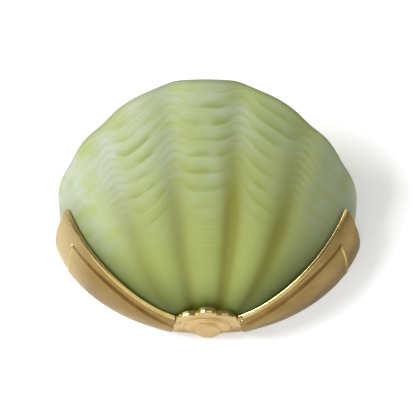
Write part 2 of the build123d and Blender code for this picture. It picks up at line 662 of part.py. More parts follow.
def make_nipple_nut():
    high = ARM_Z - WASHER_THICKNESS
    low = high - NUT_HEIGHT
    hexagon = Plane(origin=at(0, LAMP_DEPTH, low)) * RegularPolygon(NUT_FLAT / 2, 6, major_radius=False)
    return extrude(hexagon, NUT_HEIGHT) - nipple_hole(low - 1, high + 1)


def make_holder_cap():
    """Lower half of the lampholder: a cup that screws onto the nipple."""
    top = TONGUE_TOP_Z + HOLDER_CAP_HEIGHT
    cup = upright(0, LAMP_DEPTH, HOLDER_RADIUS, TONGUE_TOP_Z, top)
    cup = fillet(cup.edges().group_by(Axis.Z)[0], 3.0)
    cup = cup - upright(0, LAMP_DEPTH, HOLDER_RADIUS - HOLDER_WALL, TONGUE_TOP_Z + 4.0, top + 1)
    return cup - nipple_hole(TONGUE_TOP_Z - 1, top)


def make_holder_body():
    """Upper half of the lampholder: a skirt with a floor that carries the contacts."""
    low = TONGUE_TOP_Z + HOLDER_CAP_HEIGHT
    body = upright(0, LAMP_DEPTH, HOLDER_RADIUS, low, HOLDER_TOP_Z)
    body = chamfer(body.edges().group_by(Axis.Z)[-1], 0.8)
    return body - upright(0, LAMP_DEPTH, HOLDER_RADIUS - HOLDER_WALL, low + HOLDER_FLOOR, HOLDER_TOP_Z + 1)


def holder_floor_z():
    return TONGUE_TOP_Z + HOLDER_CAP_HEIGHT + HOLDER_FLOOR


def make_screw_shell():
    """Threaded shell of the lampholder with its foot on the floor."""
    low = holder_floor_z()
    inner = CAP_RADIUS + TURN_GAP
    shell = upright(0, LAMP_DEPTH, inner + SHELL_WALL, low, HOLDER_TOP_Z - 3.0)
    shell = shell + upright(0, LAMP_DEPTH, inner + 3.0, low, low + SHELL_WALL)
    return shell - upright(0, LAMP_DEPTH, inner, low - 1, HOLDER_TOP_Z)


def make_centre_contact():
    """Sprung tongue on the lampholder's floor, under the bulb's contact."""
    low = holder_floor_z()
    y = -LAMP_DEPTH
    top = bulb_tip_z() - FIT
    outline = [(y - 4.5, low), (y + 4.5, low), (y + 4.5, low + 0.8), (y - 3.7, low + 0.8),
               (y - 2.4, top - 0.8), (y + 2.4, top - 0.8), (y + 2.4, top), (y - 3.0, top), (y - 4.5, low + 0.8)]
    face = make_face(Wire.make_polygon([(-2.0, depth, z) for depth, z in outline], close=True))
    return extrude(face, amount=4.0, dir=(1, 0, 0))


def bulb_tip_z():
    return BULB_SEAT_Z - CAP_LENGTH - 3.0


def spun(points):
    """Solid of revolution about the lamp's axis from (radius, z) corners."""
    face = make_face(Wire.make_polygon([(radius, 0, z) for radius, z in points], close=True))
    return Pos(0, -LAMP_DEPTH, 0) * revolve(face, Axis.Z, 360)


def make_bulb_cap():
    """Metal cap of the bulb with a shallow thread form."""
    low = BULB_SEAT_Z - CAP_LENGTH
    points = [(0, low), (CAP_RADIUS - 2.2, low), (CAP_RADIUS - 0.8, low + 1.5)]
    for turn in range(5):
        z = low + 2.2 + turn * 2.8
        points += [(CAP_RADIUS - 0.6, z), (CAP_RADIUS, z + 1.4)]
    points += [(CAP_RADIUS - 0.6, low + 17.0), (CAP_RADIUS - 0.6, BULB_SEAT_Z - 1.0),
               (CAP_RADIUS + 0.4, BULB_SEAT_Z), (0, BULB_SEAT_Z)]
    return spun(points)


def make_bulb_insulator():
    low = BULB_SEAT_Z - CAP_LENGTH
    return spun([(0, low - 2.2), (2.4, low - 2.2), (CAP_RADIUS - 2.4, low), (0, low)])


def make_bulb_contact():
    low = bulb_tip_z()
    return spun([(0, low), (1.4, low), (2.2, low + 0.8), (0, low + 0.8)])


def bulb_outline(inset):
    """Half outline of the bulb's glass, this far inside its outer face."""
    radius, neck = BULB_RADIUS - inset, BULB_NECK_RADIUS - inset
    join = BULB_CENTRE_Z - math.sqrt(radius ** 2 - (neck + 2.6) ** 2)
    with BuildLine() as line:
        Line((0, BULB_SEAT_Z + inset), (neck, BULB_SEAT_Z + inset))
        Line((neck, BULB_SEAT_Z + inset), (neck, BULB_SEAT_Z + 2.0))
        ThreePointArc((neck, BULB_SEAT_Z + 2.0), (neck + 0.8, (BULB_SEAT_Z + 2.0 + join) / 2), (neck + 2.6, join))
        ThreePointArc((neck + 2.6, join), (radius, BULB_CENTRE_Z), (0, BULB_CENTRE_Z + radius))
        Line((0, BULB_CENTRE_Z + radius), (0, BULB_SEAT_Z + inset))
    return Pos(0, -LAMP_DEPTH, 0) * revolve(Plane.XZ * make_face(line.line), Axis.Z, 360)


def make_bulb_glass():
    return bulb_outline(0.0) - bulb_outline(BULB_GLASS_WALL)


def make_bulb_stem():
    """Glass stem inside the bulb."""
    low = BULB_SEAT_Z + BULB_GLASS_WALL
    return spun([(0, low), (4.0, low), (2.4, low + 6.0), (1.6, STEM_TOP_Z), (0, STEM_TOP_Z)])


def make_bulb_filament():
    """Two supports and the wire between them."""
    supports = [upright(sign * 1.0, LAMP_DEPTH, 0.3, STEM_TOP_Z, STEM_TOP_Z + 3.0) for sign in (-1, 1)]
    legs = [block(min(sign * 1.0, sign * 9.0), max(sign * 1.0, sign * 9.0), LAMP_DEPTH - 0.3, LAMP_DEPTH + 0.3,
                  STEM_TOP_Z + 2.7, STEM_TOP_Z + 3.3) for sign in (-1, 1)]
    ends = [upright(sign * 9.0, LAMP_DEPTH, 0.4, STEM_TOP_Z + 2.7, STEM_TOP_Z + 9.0) for sign in (-1, 1)]
    wire = block(-9.0, 9.0, LAMP_DEPTH - 0.3, LAMP_DEPTH + 0.3, STEM_TOP_Z + 8.4, STEM_TOP_Z + 9.0)
    return supports[0] + supports[1] + legs + ends + wire


# ---- wiring ------------------------------------------------------------------------------
def pole_places():
    return [-POLE_PITCH, 0.0, POLE_PITCH]


def make_terminal_block():
    """Three-pole block with a wire hole and a screw hole for each pole."""
    low, high = BLOCK_Z - BLOCK_HEIGHT / 2, BLOCK_Z + BLOCK_HEIGHT / 2
    top, hole = FRAME_FRONT + BLOCK_DEPTH, BLOCK_SCREW_RADIUS + SCREW_GAP
    body = block(-BLOCK_WIDTH / 2, BLOCK_WIDTH / 2, FRAME_FRONT, top, low, high)
    for x in pole_places():
        body = body - upright(x, POLE_DEPTH, SLEEVE_RADIUS, low - 1, high + 1)
        body = body - back_disc(x, BLOCK_Z, hole, POLE_DEPTH, top + 1)
    for x, z in both_sides(POLE_PITCH / 2, BLOCK_Z):
        body = body - back_disc(x, z, hole, 0, top + 1)
    return body


def make_terminal_sleeves():
    low, high = BLOCK_Z - BLOCK_HEIGHT / 2 + 1.5, BLOCK_Z + BLOCK_HEIGHT / 2 - 1.5
    return [upright(x, POLE_DEPTH, SLEEVE_RADIUS - SCREW_GAP, low, high)
            - upright(x, POLE_DEPTH, SLEEVE_BORE, low - 1, high + 1)
            - back_disc(x, BLOCK_Z, BLOCK_SCREW_RADIUS + SCREW_GAP, POLE_DEPTH, POLE_DEPTH + 5)
            for x in pole_places()]


def make_terminal_screws():
    tips = POLE_DEPTH + LEAD_RADIUS + FIT
    top = FRAME_FRONT + BLOCK_DEPTH - 0.6
    return [back_disc(x, BLOCK_Z, BLOCK_SCREW_RADIUS, tips, top) for x in pole_places()]


def make_block_screws():
    seat = FRAME_FRONT + BLOCK_DEPTH
    return [screw(x, z, seat, BLOCK_DEPTH + FRAME_THICKNESS, BLOCK_SCREW_RADIUS)
            for x, z in both_sides(POLE_PITCH / 2, BLOCK_Z)]


def lead(points):
    """Round lead along straight runs joined by arcs as large as the runs allow."""
    runs = [(b - a).length for a, b in zip(points, points[1:])]
    radii = []
    for i in range(1, len(points) - 1):
        turn = (points[i] - points[i - 1]).get_angle(points[i + 1] - points[i])
        radii.append(0.45 * min(runs[i - 1], runs[i]) / math.tan(math.radians(turn) / 2))
    path = FilletPolyline(*points, radius=radii)
    section = Plane(origin=points[0], z_dir=points[1] - points[0]) * Circle(LEAD_RADIUS)
    tube = sweep(section, path=path)
    print("radii", [round(radius, 1) for radius in radii], "length", round(path.length, 1),
          "volume share", round(tube.volume / (math.pi * LEAD_RADIUS ** 2 * path.length), 4))
    return tube


def lamp_lead(side):
    """Lead from an outer pole, down through the arm's slot and up the nipple."""
    pole, bore = side * POLE_PITCH, side * LEAD_SPREAD
    half_turn = (LAMP_DEPTH - LEAD_DEPTH) / 2
    flat = half_turn * math.tan(math.radians(22.5))
    bend_z = ARM_Z - NIPPLE_BELOW - 4.0
    return lead([
        at(pole, POLE_DEPTH, BLOCK_Z - 2.0),
        at(pole, POLE_DEPTH, BLOCK_Z - 16.0),
        at((pole + bore) / 2, (POLE_DEPTH + LEAD_DEPTH) / 2 + 1.5, BLOCK_Z - 32.0),
        at(bore, LEAD_DEPTH, BLOCK_Z - 47.0),
        at(bore, LEAD_DEPTH + 1.0, BLOCK_Z - 63.0),
        at(bore, LEAD_DEPTH, bend_z),
        at(bore, LEAD_DEPTH + half_turn - flat, bend_z - half_turn + flat),
        at(bore, LAMP_DEPTH - half_turn + flat, bend_z - half_turn + flat),
        at(bore, LAMP_DEPTH, bend_z),
        at(bore, LAMP_DEPTH, TONGUE_TOP_Z + HOLDER_CAP_HEIGHT - 2.0),
    ])


def earth_lead():
    """Lead from the middle pole to the tag on the frame."""
    tag = EARTH_Z - TAG_LENGTH
    return lead([
        at(0, POLE_DEPTH, BLOCK_Z - 2.0),
        at(0, POLE_DEPTH, BLOCK_Z - 14.0),
        at(4.0, POLE_DEPTH - 0.5, BLOCK_Z - 28.0),
        at(12.0, POLE_DEPTH - 2.0, tag - 16.0),
        at(20.0, POLE_DEPTH - 3.5, tag - 20.0),
        at(EARTH_X, FRAME_FRONT + 2.0, tag - 12.0),
        at(EARTH_X, FRAME_FRONT + 2.0, tag - 1.0),
    ])


def make_earth_tag():
    """Ring tag with a crimped barrel."""
    ring = back_disc(EARTH_X, EARTH_Z, 4.0, FRAME_FRONT, FRAME_FRONT + TAG_THICKNESS)
    neck = block(EARTH_X - 1.6, EARTH_X + 1.6, FRAME_FRONT, FRAME_FRONT + TAG_THICKNESS,
                 EARTH_Z - TAG_LENGTH, EARTH_Z)
    hole = back_disc(EARTH_X, EARTH_Z, SMALL_SCREW_RADIUS + SCREW_GAP, 0, 20)
    return ring + neck - hole


def make_earth_barrel():
    low, high = EARTH_Z - TAG_LENGTH - 5.0, EARTH_Z - TAG_LENGTH
    middle = FRAME_FRONT + 2.0
    bore = upright(EARTH_X, middle, LEAD_RADIUS + SCREW_GAP, low - 1, high + 1)
    return upright(EARTH_X, middle, 1.9, low, high) - bore


def make_earth_screw():
    return screw(EARTH_X, EARTH_Z, FRAME_FRONT + TAG_THICKNESS, TAG_THICKNESS + FRAME_THICKNESS, SMALL_SCREW_RADIUS)


def make_cable_grommet():
    """Rubber grommet in the frame's cable hole."""
    near = back_disc(0, 0, CABLE_HOLE_RADIUS - FIT, FRAME_BACK - 1.6, FRAME_BACK)
    neck = back_disc(0, 0, GROMMET_NECK - SCREW_GAP, FRAME_BACK, FRAME_FRONT)
    far = back_disc(0, 0, CABLE_HOLE_RADIUS - FIT, FRAME_FRONT, FRAME_FRONT + 1.6)
    return near + neck + far - back_disc(0, 0, GROMMET_BORE, 0, 20)


# ---- writing -----------------------------------------------------------------------------
def write(name, shape):
    """Write one node; a list of solids is one group."""
    node = Compound(shape) if isinstance(shape, (list, tuple)) else shape
    node.label = name
    export_step(node, f"parts/{name}.step")


def mirrored(shape):
    return mirror(shape, about=Plane.YZ)


def main():
    os.makedirs("parts", exist_ok=True)
    right_wing, right_clip, right_nut = make_right_wing(), make_shade_clip(), make_thumb_nut()
    right_lug = glass_lug()
    write("glass_shade", make_glass_shade() + right_lug + mirrored(right_lug))
    write("right_wing", right_wing)
    write("left_wing", mirrored(right_wing))
    write("centre_motif", make_centre_motif())
    write("motif_strap", make_motif_strap())
    write("motif_screws", make_motif_screws())
    write("foot_pad", make_foot_pad())
    write("back_frame", make_back_frame())
    write("wing_screws", make_ear_screws())
    write("wall_plate", make_wall_plate())
    write("wall_plate_studs", make_studs())
    write("right_thumb_nut", right_nut)
    write("left_thumb_nut", mirrored(right_nut))
    write("right_shade_clip", right_clip)
    write("left_shade_clip", mirrored(right_clip))
    write("clip_screws", make_clip_screws())
    write("lamp_arm", make_arm())
    write("bracket_screws", make_arm_screws())
    write("nipple", make_nipple())
    write("nipple_washer", make_nipple_washer())
    write("nipple_nut", make_nipple_nut())
    write("lampholder_cap", make_holder_cap())
    write("lampholder_body", make_holder_body())
    write("lampholder_screw_shell", make_screw_shell())
    write("lampholder_centre_contact", make_centre_contact())
    write("bulb_cap", make_bulb_cap())
    write("bulb_insulator", make_bulb_insulator())
    write("bulb_contact", make_bulb_contact())
    write("bulb_glass", make_bulb_glass())
    write("bulb_stem", make_bulb_stem())
    write("bulb_filament", make_bulb_filament())
    write("terminal_block", make_terminal_block())
    write("terminal_sleeves", make_terminal_sleeves())
    write("terminal_screws", make_terminal_screws())
    write("terminal_block_screws", make_block_screws())
    write("live_lead", lamp_lead(-1))
    write("neutral_lead", lamp_lead(1))
    write("earth_lead", earth_lead())
    write("earth_tag", make_earth_tag())
    write("earth_barrel", make_earth_barrel())
    write("earth_screw", make_earth_screw())
    write("cable_grommet", make_cable_grommet())


if __name__ == "__main__":
    main()
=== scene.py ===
import logging
import math
from dataclasses import dataclass, field
from enum import Enum, IntEnum
from typing import Any, Optional, Sequence

import bmesh
import bpy
import numpy as np
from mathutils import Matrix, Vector


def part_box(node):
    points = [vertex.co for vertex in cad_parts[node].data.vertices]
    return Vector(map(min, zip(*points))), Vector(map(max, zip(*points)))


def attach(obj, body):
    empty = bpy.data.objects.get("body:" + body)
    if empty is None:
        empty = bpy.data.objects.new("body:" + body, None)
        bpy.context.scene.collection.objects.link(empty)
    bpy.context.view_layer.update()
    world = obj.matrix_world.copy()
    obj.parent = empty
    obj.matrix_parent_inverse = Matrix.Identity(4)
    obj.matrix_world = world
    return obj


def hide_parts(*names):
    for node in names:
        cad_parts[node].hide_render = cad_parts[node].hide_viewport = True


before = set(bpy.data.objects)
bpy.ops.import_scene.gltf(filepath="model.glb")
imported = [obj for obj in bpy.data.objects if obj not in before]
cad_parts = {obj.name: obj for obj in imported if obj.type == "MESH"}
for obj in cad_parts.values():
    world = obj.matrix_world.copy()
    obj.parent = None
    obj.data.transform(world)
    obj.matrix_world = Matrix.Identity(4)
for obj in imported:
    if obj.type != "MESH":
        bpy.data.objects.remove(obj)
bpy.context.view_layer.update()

# Shell wall light: a fluted satin glass shade in a brass gallery, on a white wall. Lengths are in
# metres in the CAD frame: +X right, +Z up, the wall at Y = 0 and the light standing out to -Y.

LOG = logging.getLogger("shell_wall_light")
MM = 0.001
Colour = tuple[float, float, float, float]
NODES: dict[str, bpy.types.Object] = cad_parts


# ---- helpers -----------------------------------------------------------------------------
def linear(code: str) -> Colour:
    """Turn an sRGB hex colour into linear values.

    Args:
        code: colour such as "#A9BC78".

    Returns:
        Linear red, green, blue and an alpha of 1.
    """
    parts = [int(code[i:i + 2], 16) / 255 for i in (1, 3, 5)]
    red, green, blue = (part / 12.92 if part <= 0.04045 else ((part + 0.055) / 1.055) ** 2.4
                        for part in parts)
    return red, green, blue, 1.0


def add_node(tree: bpy.types.NodeTree, kind: str, settings: Optional[dict] = None,
             links: Optional[dict] = None) -> bpy.types.Node:
    """Add a node with its settings and links.

    Args:
        tree: node tree that takes the node.
        kind: Blender's name of the node type.
        settings: property names, or input names or numbers, with their values. "stops" gives the
            stops of a colour ramp and "points" those of a float curve.
        links: input names or numbers, with the output sockets that feed them.

    Returns:
        The new node.
    """
    node = tree.nodes.new(kind)
    for key, value in (settings or {}).items():
        if key == "stops":
            elements = node.color_ramp.elements
            while len(elements) < len(value):
                elements.new(0.5)
            for element, (place, colour) in zip(elements, value):
                element.position, element.color = place, colour
        elif key == "points":
            curve = node.mapping.curves[0]
            while len(curve.points) < len(value):
                curve.points.new(0.5, 0.5)
            for point, place in zip(curve.points, value):
                point.location = place
                point.handle_type = "AUTO_CLAMPED"
            node.mapping.update()
        elif isinstance(key, str) and hasattr(node, key):
            setattr(node, key, value)
        else:
            node.inputs[key].default_value = value
    for key, socket in (links or {}).items():
        tree.links.new(socket, node.inputs[key])
    return node


def grey(value: float) -> Colour:
    """Linear grey of this value."""
    return value, value, value, 1.0


def ramp(value: np.ndarray, start: Any, width: float) -> np.ndarray:
    """0 up to the start, rising evenly to 1 over this width."""
    return np.clip((value - start) / width, 0, 1)


def new_material(name: str) -> tuple[bpy.types.Material, bpy.types.NodeTree, bpy.types.Node]:
    """Start a node material.

    Args:
        name: the material's plain name.

    Returns:
        The material, its node tree and its surface shader.
    """
    material = bpy.data.materials.new(name)
    material.use_nodes = True
    tree = material.node_tree
    return material, tree, tree.nodes["Principled BSDF"]


def mesh_object(name: str, vertices: Sequence, faces: Sequence, material: bpy.types.Material,
                smooth: bool = True) -> bpy.types.Object:
    """Make an object at the origin from points and faces.

    Args:
        name: the piece's name.
        vertices: points in metres.
        faces: lists of point numbers.
        material: the piece's finish.
        smooth: shade it smooth.

    Returns:
        The object, linked to the scene.
    """
    mesh = bpy.data.meshes.new(name)
    mesh.from_pydata([tuple(map(float, point)) for point in vertices], [], faces)
    mesh.materials.append(material)
    mesh.validate()
    mesh.shade_smooth() if smooth else mesh.shade_flat()
    made = bpy.data.objects.new(name, mesh)
    bpy.context.scene.collection.objects.link(made)
    return made


def bake_modifiers(piece: bpy.types.Object) -> None:
    """Turn a piece and its modifiers into one plain mesh.

    Args:
        piece: an object with live modifiers, which it loses.
    """
    bpy.context.view_layer.update()
    graph = bpy.context.evaluated_depsgraph_get()
    mesh = bpy.data.meshes.new_from_object(piece.evaluated_get(graph), depsgraph=graph,
                                           preserve_all_data_layers=True)
    old = piece.data
    piece.modifiers.clear()
    piece.data = mesh
    mesh.name = piece.name
    bpy.data.meshes.remove(old)


def set_inputs(modifier: bpy.types.NodesModifier, sizes: dict[str, float]) -> None:
    """Set a node modifier's inputs.

    Args:
        modifier: the modifier, with its tree.
        sizes: value of each input by its name; each is set by its socket's identifier.
    """
    for item in modifier.node_group.interface.items_tree:
        if item.item_type == "SOCKET" and item.in_out == "INPUT" and item.name in sizes:
            modifier[item.identifier] = sizes[item.name]


def recalculate_normals(piece: bpy.types.Object) -> None:
    """Merge doubles and point the faces outwards.

    Args:
        piece: a closed piece.
    """
    sheet = bmesh.new()
    sheet.from_mesh(piece.data)
    bmesh.ops.remove_doubles(sheet, verts=sheet.verts, dist=0.002 * MM)
    bmesh.ops.recalc_face_normals(sheet, faces=sheet.faces)
    sheet.to_mesh(piece.data)
    sheet.free()


def fix(piece: bpy.types.Object, body: str, slot: str, *nodes: str) -> None:
    """Hang a finished piece on a body in place of CAD nodes.

    Args:
        piece: the finished piece.
        body: the body that it rides on.
        slot: name of the piece's material slot; not used.
        nodes: the CAD nodes that it stands for.
    """
    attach(piece, body)
    if nodes:
        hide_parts(*nodes)
    LOG.info("%s: %d faces on %s", piece.name, len(piece.data.polygons), body)


# ---- finishes ----------------------------------------------------------------------------
class Grain(Enum):
    """How a metal surface was worked."""

    SATIN = "satin"
    POLISHED = "polished"
    PLATED = "plated"


@dataclass(frozen=True)
class Metal:
    """Metal whose tone wanders a little and whose surface keeps the marks of its finishing.

    Attributes:
        name: the finish's plain name.
        light: hex colour of the clean metal.
        dark: hex colour of the duller patches.
        grain: how the surface was worked.
        roughness: middle roughness.
        grain_size: size of the fine marks.
        depth: height of the fine marks.
        patch_size: width of the soft patches.
        tip: hex colour of a painted highlight on the gallery's left end, or an empty text.
        highlight_start: distance from the middle at which that highlight begins.
        highlight_full: distance at which it is at its strongest.
        highlight_share: how strong it is there.
    """

    name: str
    light: str
    dark: str
    grain: Grain
    roughness: float
    grain_size: float = 0.9 * MM
    depth: float = 0.02 * MM
    patch_size: float = 25.0 * MM
    tip: str = ""
    highlight_start: float = 110.0 * MM
    highlight_full: float = 150.0 * MM
    highlight_share: float = 0.8

    def material(self) -> bpy.types.Material:
        """Build the finish: metal that is duller and rougher in soft patches.

        Returns:
            The material.
        """
        material, tree, shader = new_material(self.name)
        place = add_node(tree, "ShaderNodeTexCoord")
        patches = add_node(tree, "ShaderNodeTexNoise",
                           {"Scale": 1.0 / self.patch_size, "Detail": 3.0, "Roughness": 0.55},
                           {"Vector": place.outputs["Object"]})
        tone = add_node(tree, "ShaderNodeValToRGB",
                        {"stops": [(0.32, linear(self.dark)), (0.66, linear(self.light))]},
                        {"Fac": patches.outputs["Fac"]})
        # Plate grows in marks four times as tall as they are wide. Other grain is even.
        stretch = (1.0, 1.0, 0.25) if self.grain is Grain.PLATED else (1.0, 1.0, 1.0)
        turned = add_node(tree, "ShaderNodeMapping", {"Scale": stretch},
                          {"Vector": place.outputs["Object"]})
        marks = add_node(tree, "ShaderNodeTexNoise",
                         {"Scale": 1.0 / self.grain_size, "Detail": 4.0, "Roughness": 0.6},
                         {"Vector": turned.outputs["Vector"]})
        spread = 0.04 if self.grain is Grain.POLISHED else 0.10
        rough = add_node(tree, "ShaderNodeMapRange",
                         {"From Min": 0.3, "From Max": 0.7, "To Min": self.roughness - spread,
                          "To Max": self.roughness + spread}, {"Value": marks.outputs["Fac"]})
        bump = add_node(tree, "ShaderNodeBump", {"Strength": 0.5, "Distance": self.depth},
                        {"Height": marks.outputs["Fac"]})
        shader.inputs["Metallic"].default_value = 1.0
        colour = tone.outputs["Color"]
        # Painted highlight: the colour turns lighter towards the left end, where the light falls.
        if self.tip:
            apart = add_node(tree, "ShaderNodeSeparateXYZ", None,
                             {"Vector": place.outputs["Object"]})
            out = add_node(tree, "ShaderNodeMath", {"operation": "MULTIPLY", 1: -1.0},
                           {0: apart.outputs["X"]})
            share = add_node(tree, "ShaderNodeMapRange",
                             {"interpolation_type": "SMOOTHSTEP", "From Min": self.highlight_start,
                              "From Max": self.highlight_full, "To Max": self.highlight_share},
                             {"Value": out.outputs[0]})
            mix = add_node(tree, "ShaderNodeMix", {"data_type": "RGBA", 7: linear(self.tip)},
                           {0: share.outputs[0], 6: colour})
            colour = mix.outputs[2]
        tree.links.new(colour, shader.inputs["Base Color"])
        tree.links.new(rough.outputs["Result"], shader.inputs["Roughness"])
        tree.links.new(bump.outputs["Normal"], shader.inputs["Normal"])
        return material


@dataclass(frozen=True)
class Moulded:
    """Moulded plastic, rubber or insulation, with a faint orange-peel and uneven gloss.

    Attributes:
        name: the finish's plain name.
        light: hex colour of the raised grain.
        dark: hex colour of the low grain.
        roughness: middle roughness.
        grain_size: size of the surface grain.
        stripe: hex colour of a second stripe along the piece, or an empty text.
    """

    name: str
    light: str
    dark: str
    roughness: float
    grain_size: float = 1.2 * MM
    stripe: str = ""

    def material(self) -> bpy.types.Material:
        """Build the finish: plain moulded colour with a fine grain that breaks up its gloss.

        Returns:
            The material.
        """
        material, tree, shader = new_material(self.name)
        place = add_node(tree, "ShaderNodeTexCoord")
        grain = add_node(tree, "ShaderNodeTexNoise",
                         {"Scale": 1.0 / self.grain_size, "Detail": 3.0},
                         {"Vector": place.outputs["Object"]})
        tone = add_node(tree, "ShaderNodeValToRGB",
                        {"stops": [(0.35, linear(self.dark)), (0.65, linear(self.light))]},
                        {"Fac": grain.outputs["Fac"]})
        colour = tone.outputs["Color"]
        if self.stripe:
            bands = add_node(tree, "ShaderNodeTexWave",
                             {"wave_type": "BANDS", "bands_direction": "X", "Scale": 90.0,
                              "Distortion": 0.6}, {"Vector": place.outputs["Object"]})
            edge = add_node(tree, "ShaderNodeMath", {"operation": "GREATER_THAN", 1: 0.62},
                            {0: bands.outputs["Fac"]})
            mix = add_node(tree, "ShaderNodeMix", {"data_type": "RGBA", 7: linear(self.stripe)},
                           {0: edge.outputs[0], 6: colour})
            colour = mix.outputs[2]
        rough = add_node(tree, "ShaderNodeMapRange",
                         {"To Min": self.roughness - 0.08, "To Max": self.roughness + 0.08},
                         {"Value": grain.outputs["Fac"]})
        bump = add_node(tree, "ShaderNodeBump", {"Strength": 0.3, "Distance": 0.03 * MM},
                        {"Height": grain.outputs["Fac"]})
        tree.links.new(colour, shader.inputs["Base Color"])
        tree.links.new(rough.outputs["Result"], shader.inputs["Roughness"])
        tree.links.new(bump.outputs["Normal"], shader.inputs["Normal"])
        return material


@dataclass(frozen=True)
class ClearGlass:
    """Thin blown glass of the lamp.

    Attributes:
        name: the finish's plain name.
        tint: hex colour of its thicker places.
        roughness: even roughness of its surface.
    """

    name: str
    tint: str
    roughness: float

    def material(self) -> bpy.types.Material:
        """Build the glass: clear, with faint draw lines that bend its reflections.

        Returns:
            The material.
        """
        material, tree, shader = new_material(self.name)
        place = add_node(tree, "ShaderNodeTexCoord")
        lines = add_node(tree, "ShaderNodeTexNoise", {"Scale": 60.0, "Detail": 1.0},
                         {"Vector": place.outputs["Object"]})
        tone = add_node(tree, "ShaderNodeValToRGB",
                        {"stops": [(0.0, linear(self.tint)), (1.0, grey(1.0))]},
                        {"Fac": lines.outputs["Fac"]})
        bump = add_node(tree, "ShaderNodeBump", {"Strength": 0.1, "Distance": 0.1 * MM},
                        {"Height": lines.outputs["Fac"]})
        shader.inputs["Transmission Weight"].default_value = 1.0
        shader.inputs["Roughness"].default_value = self.roughness
        shader.inputs["IOR"].default_value = 1.47
        tree.links.new(tone.outputs["Color"], shader.inputs["Base Color"])
        tree.links.new(bump.outputs["Normal"], shader.inputs["Normal"])
        return material


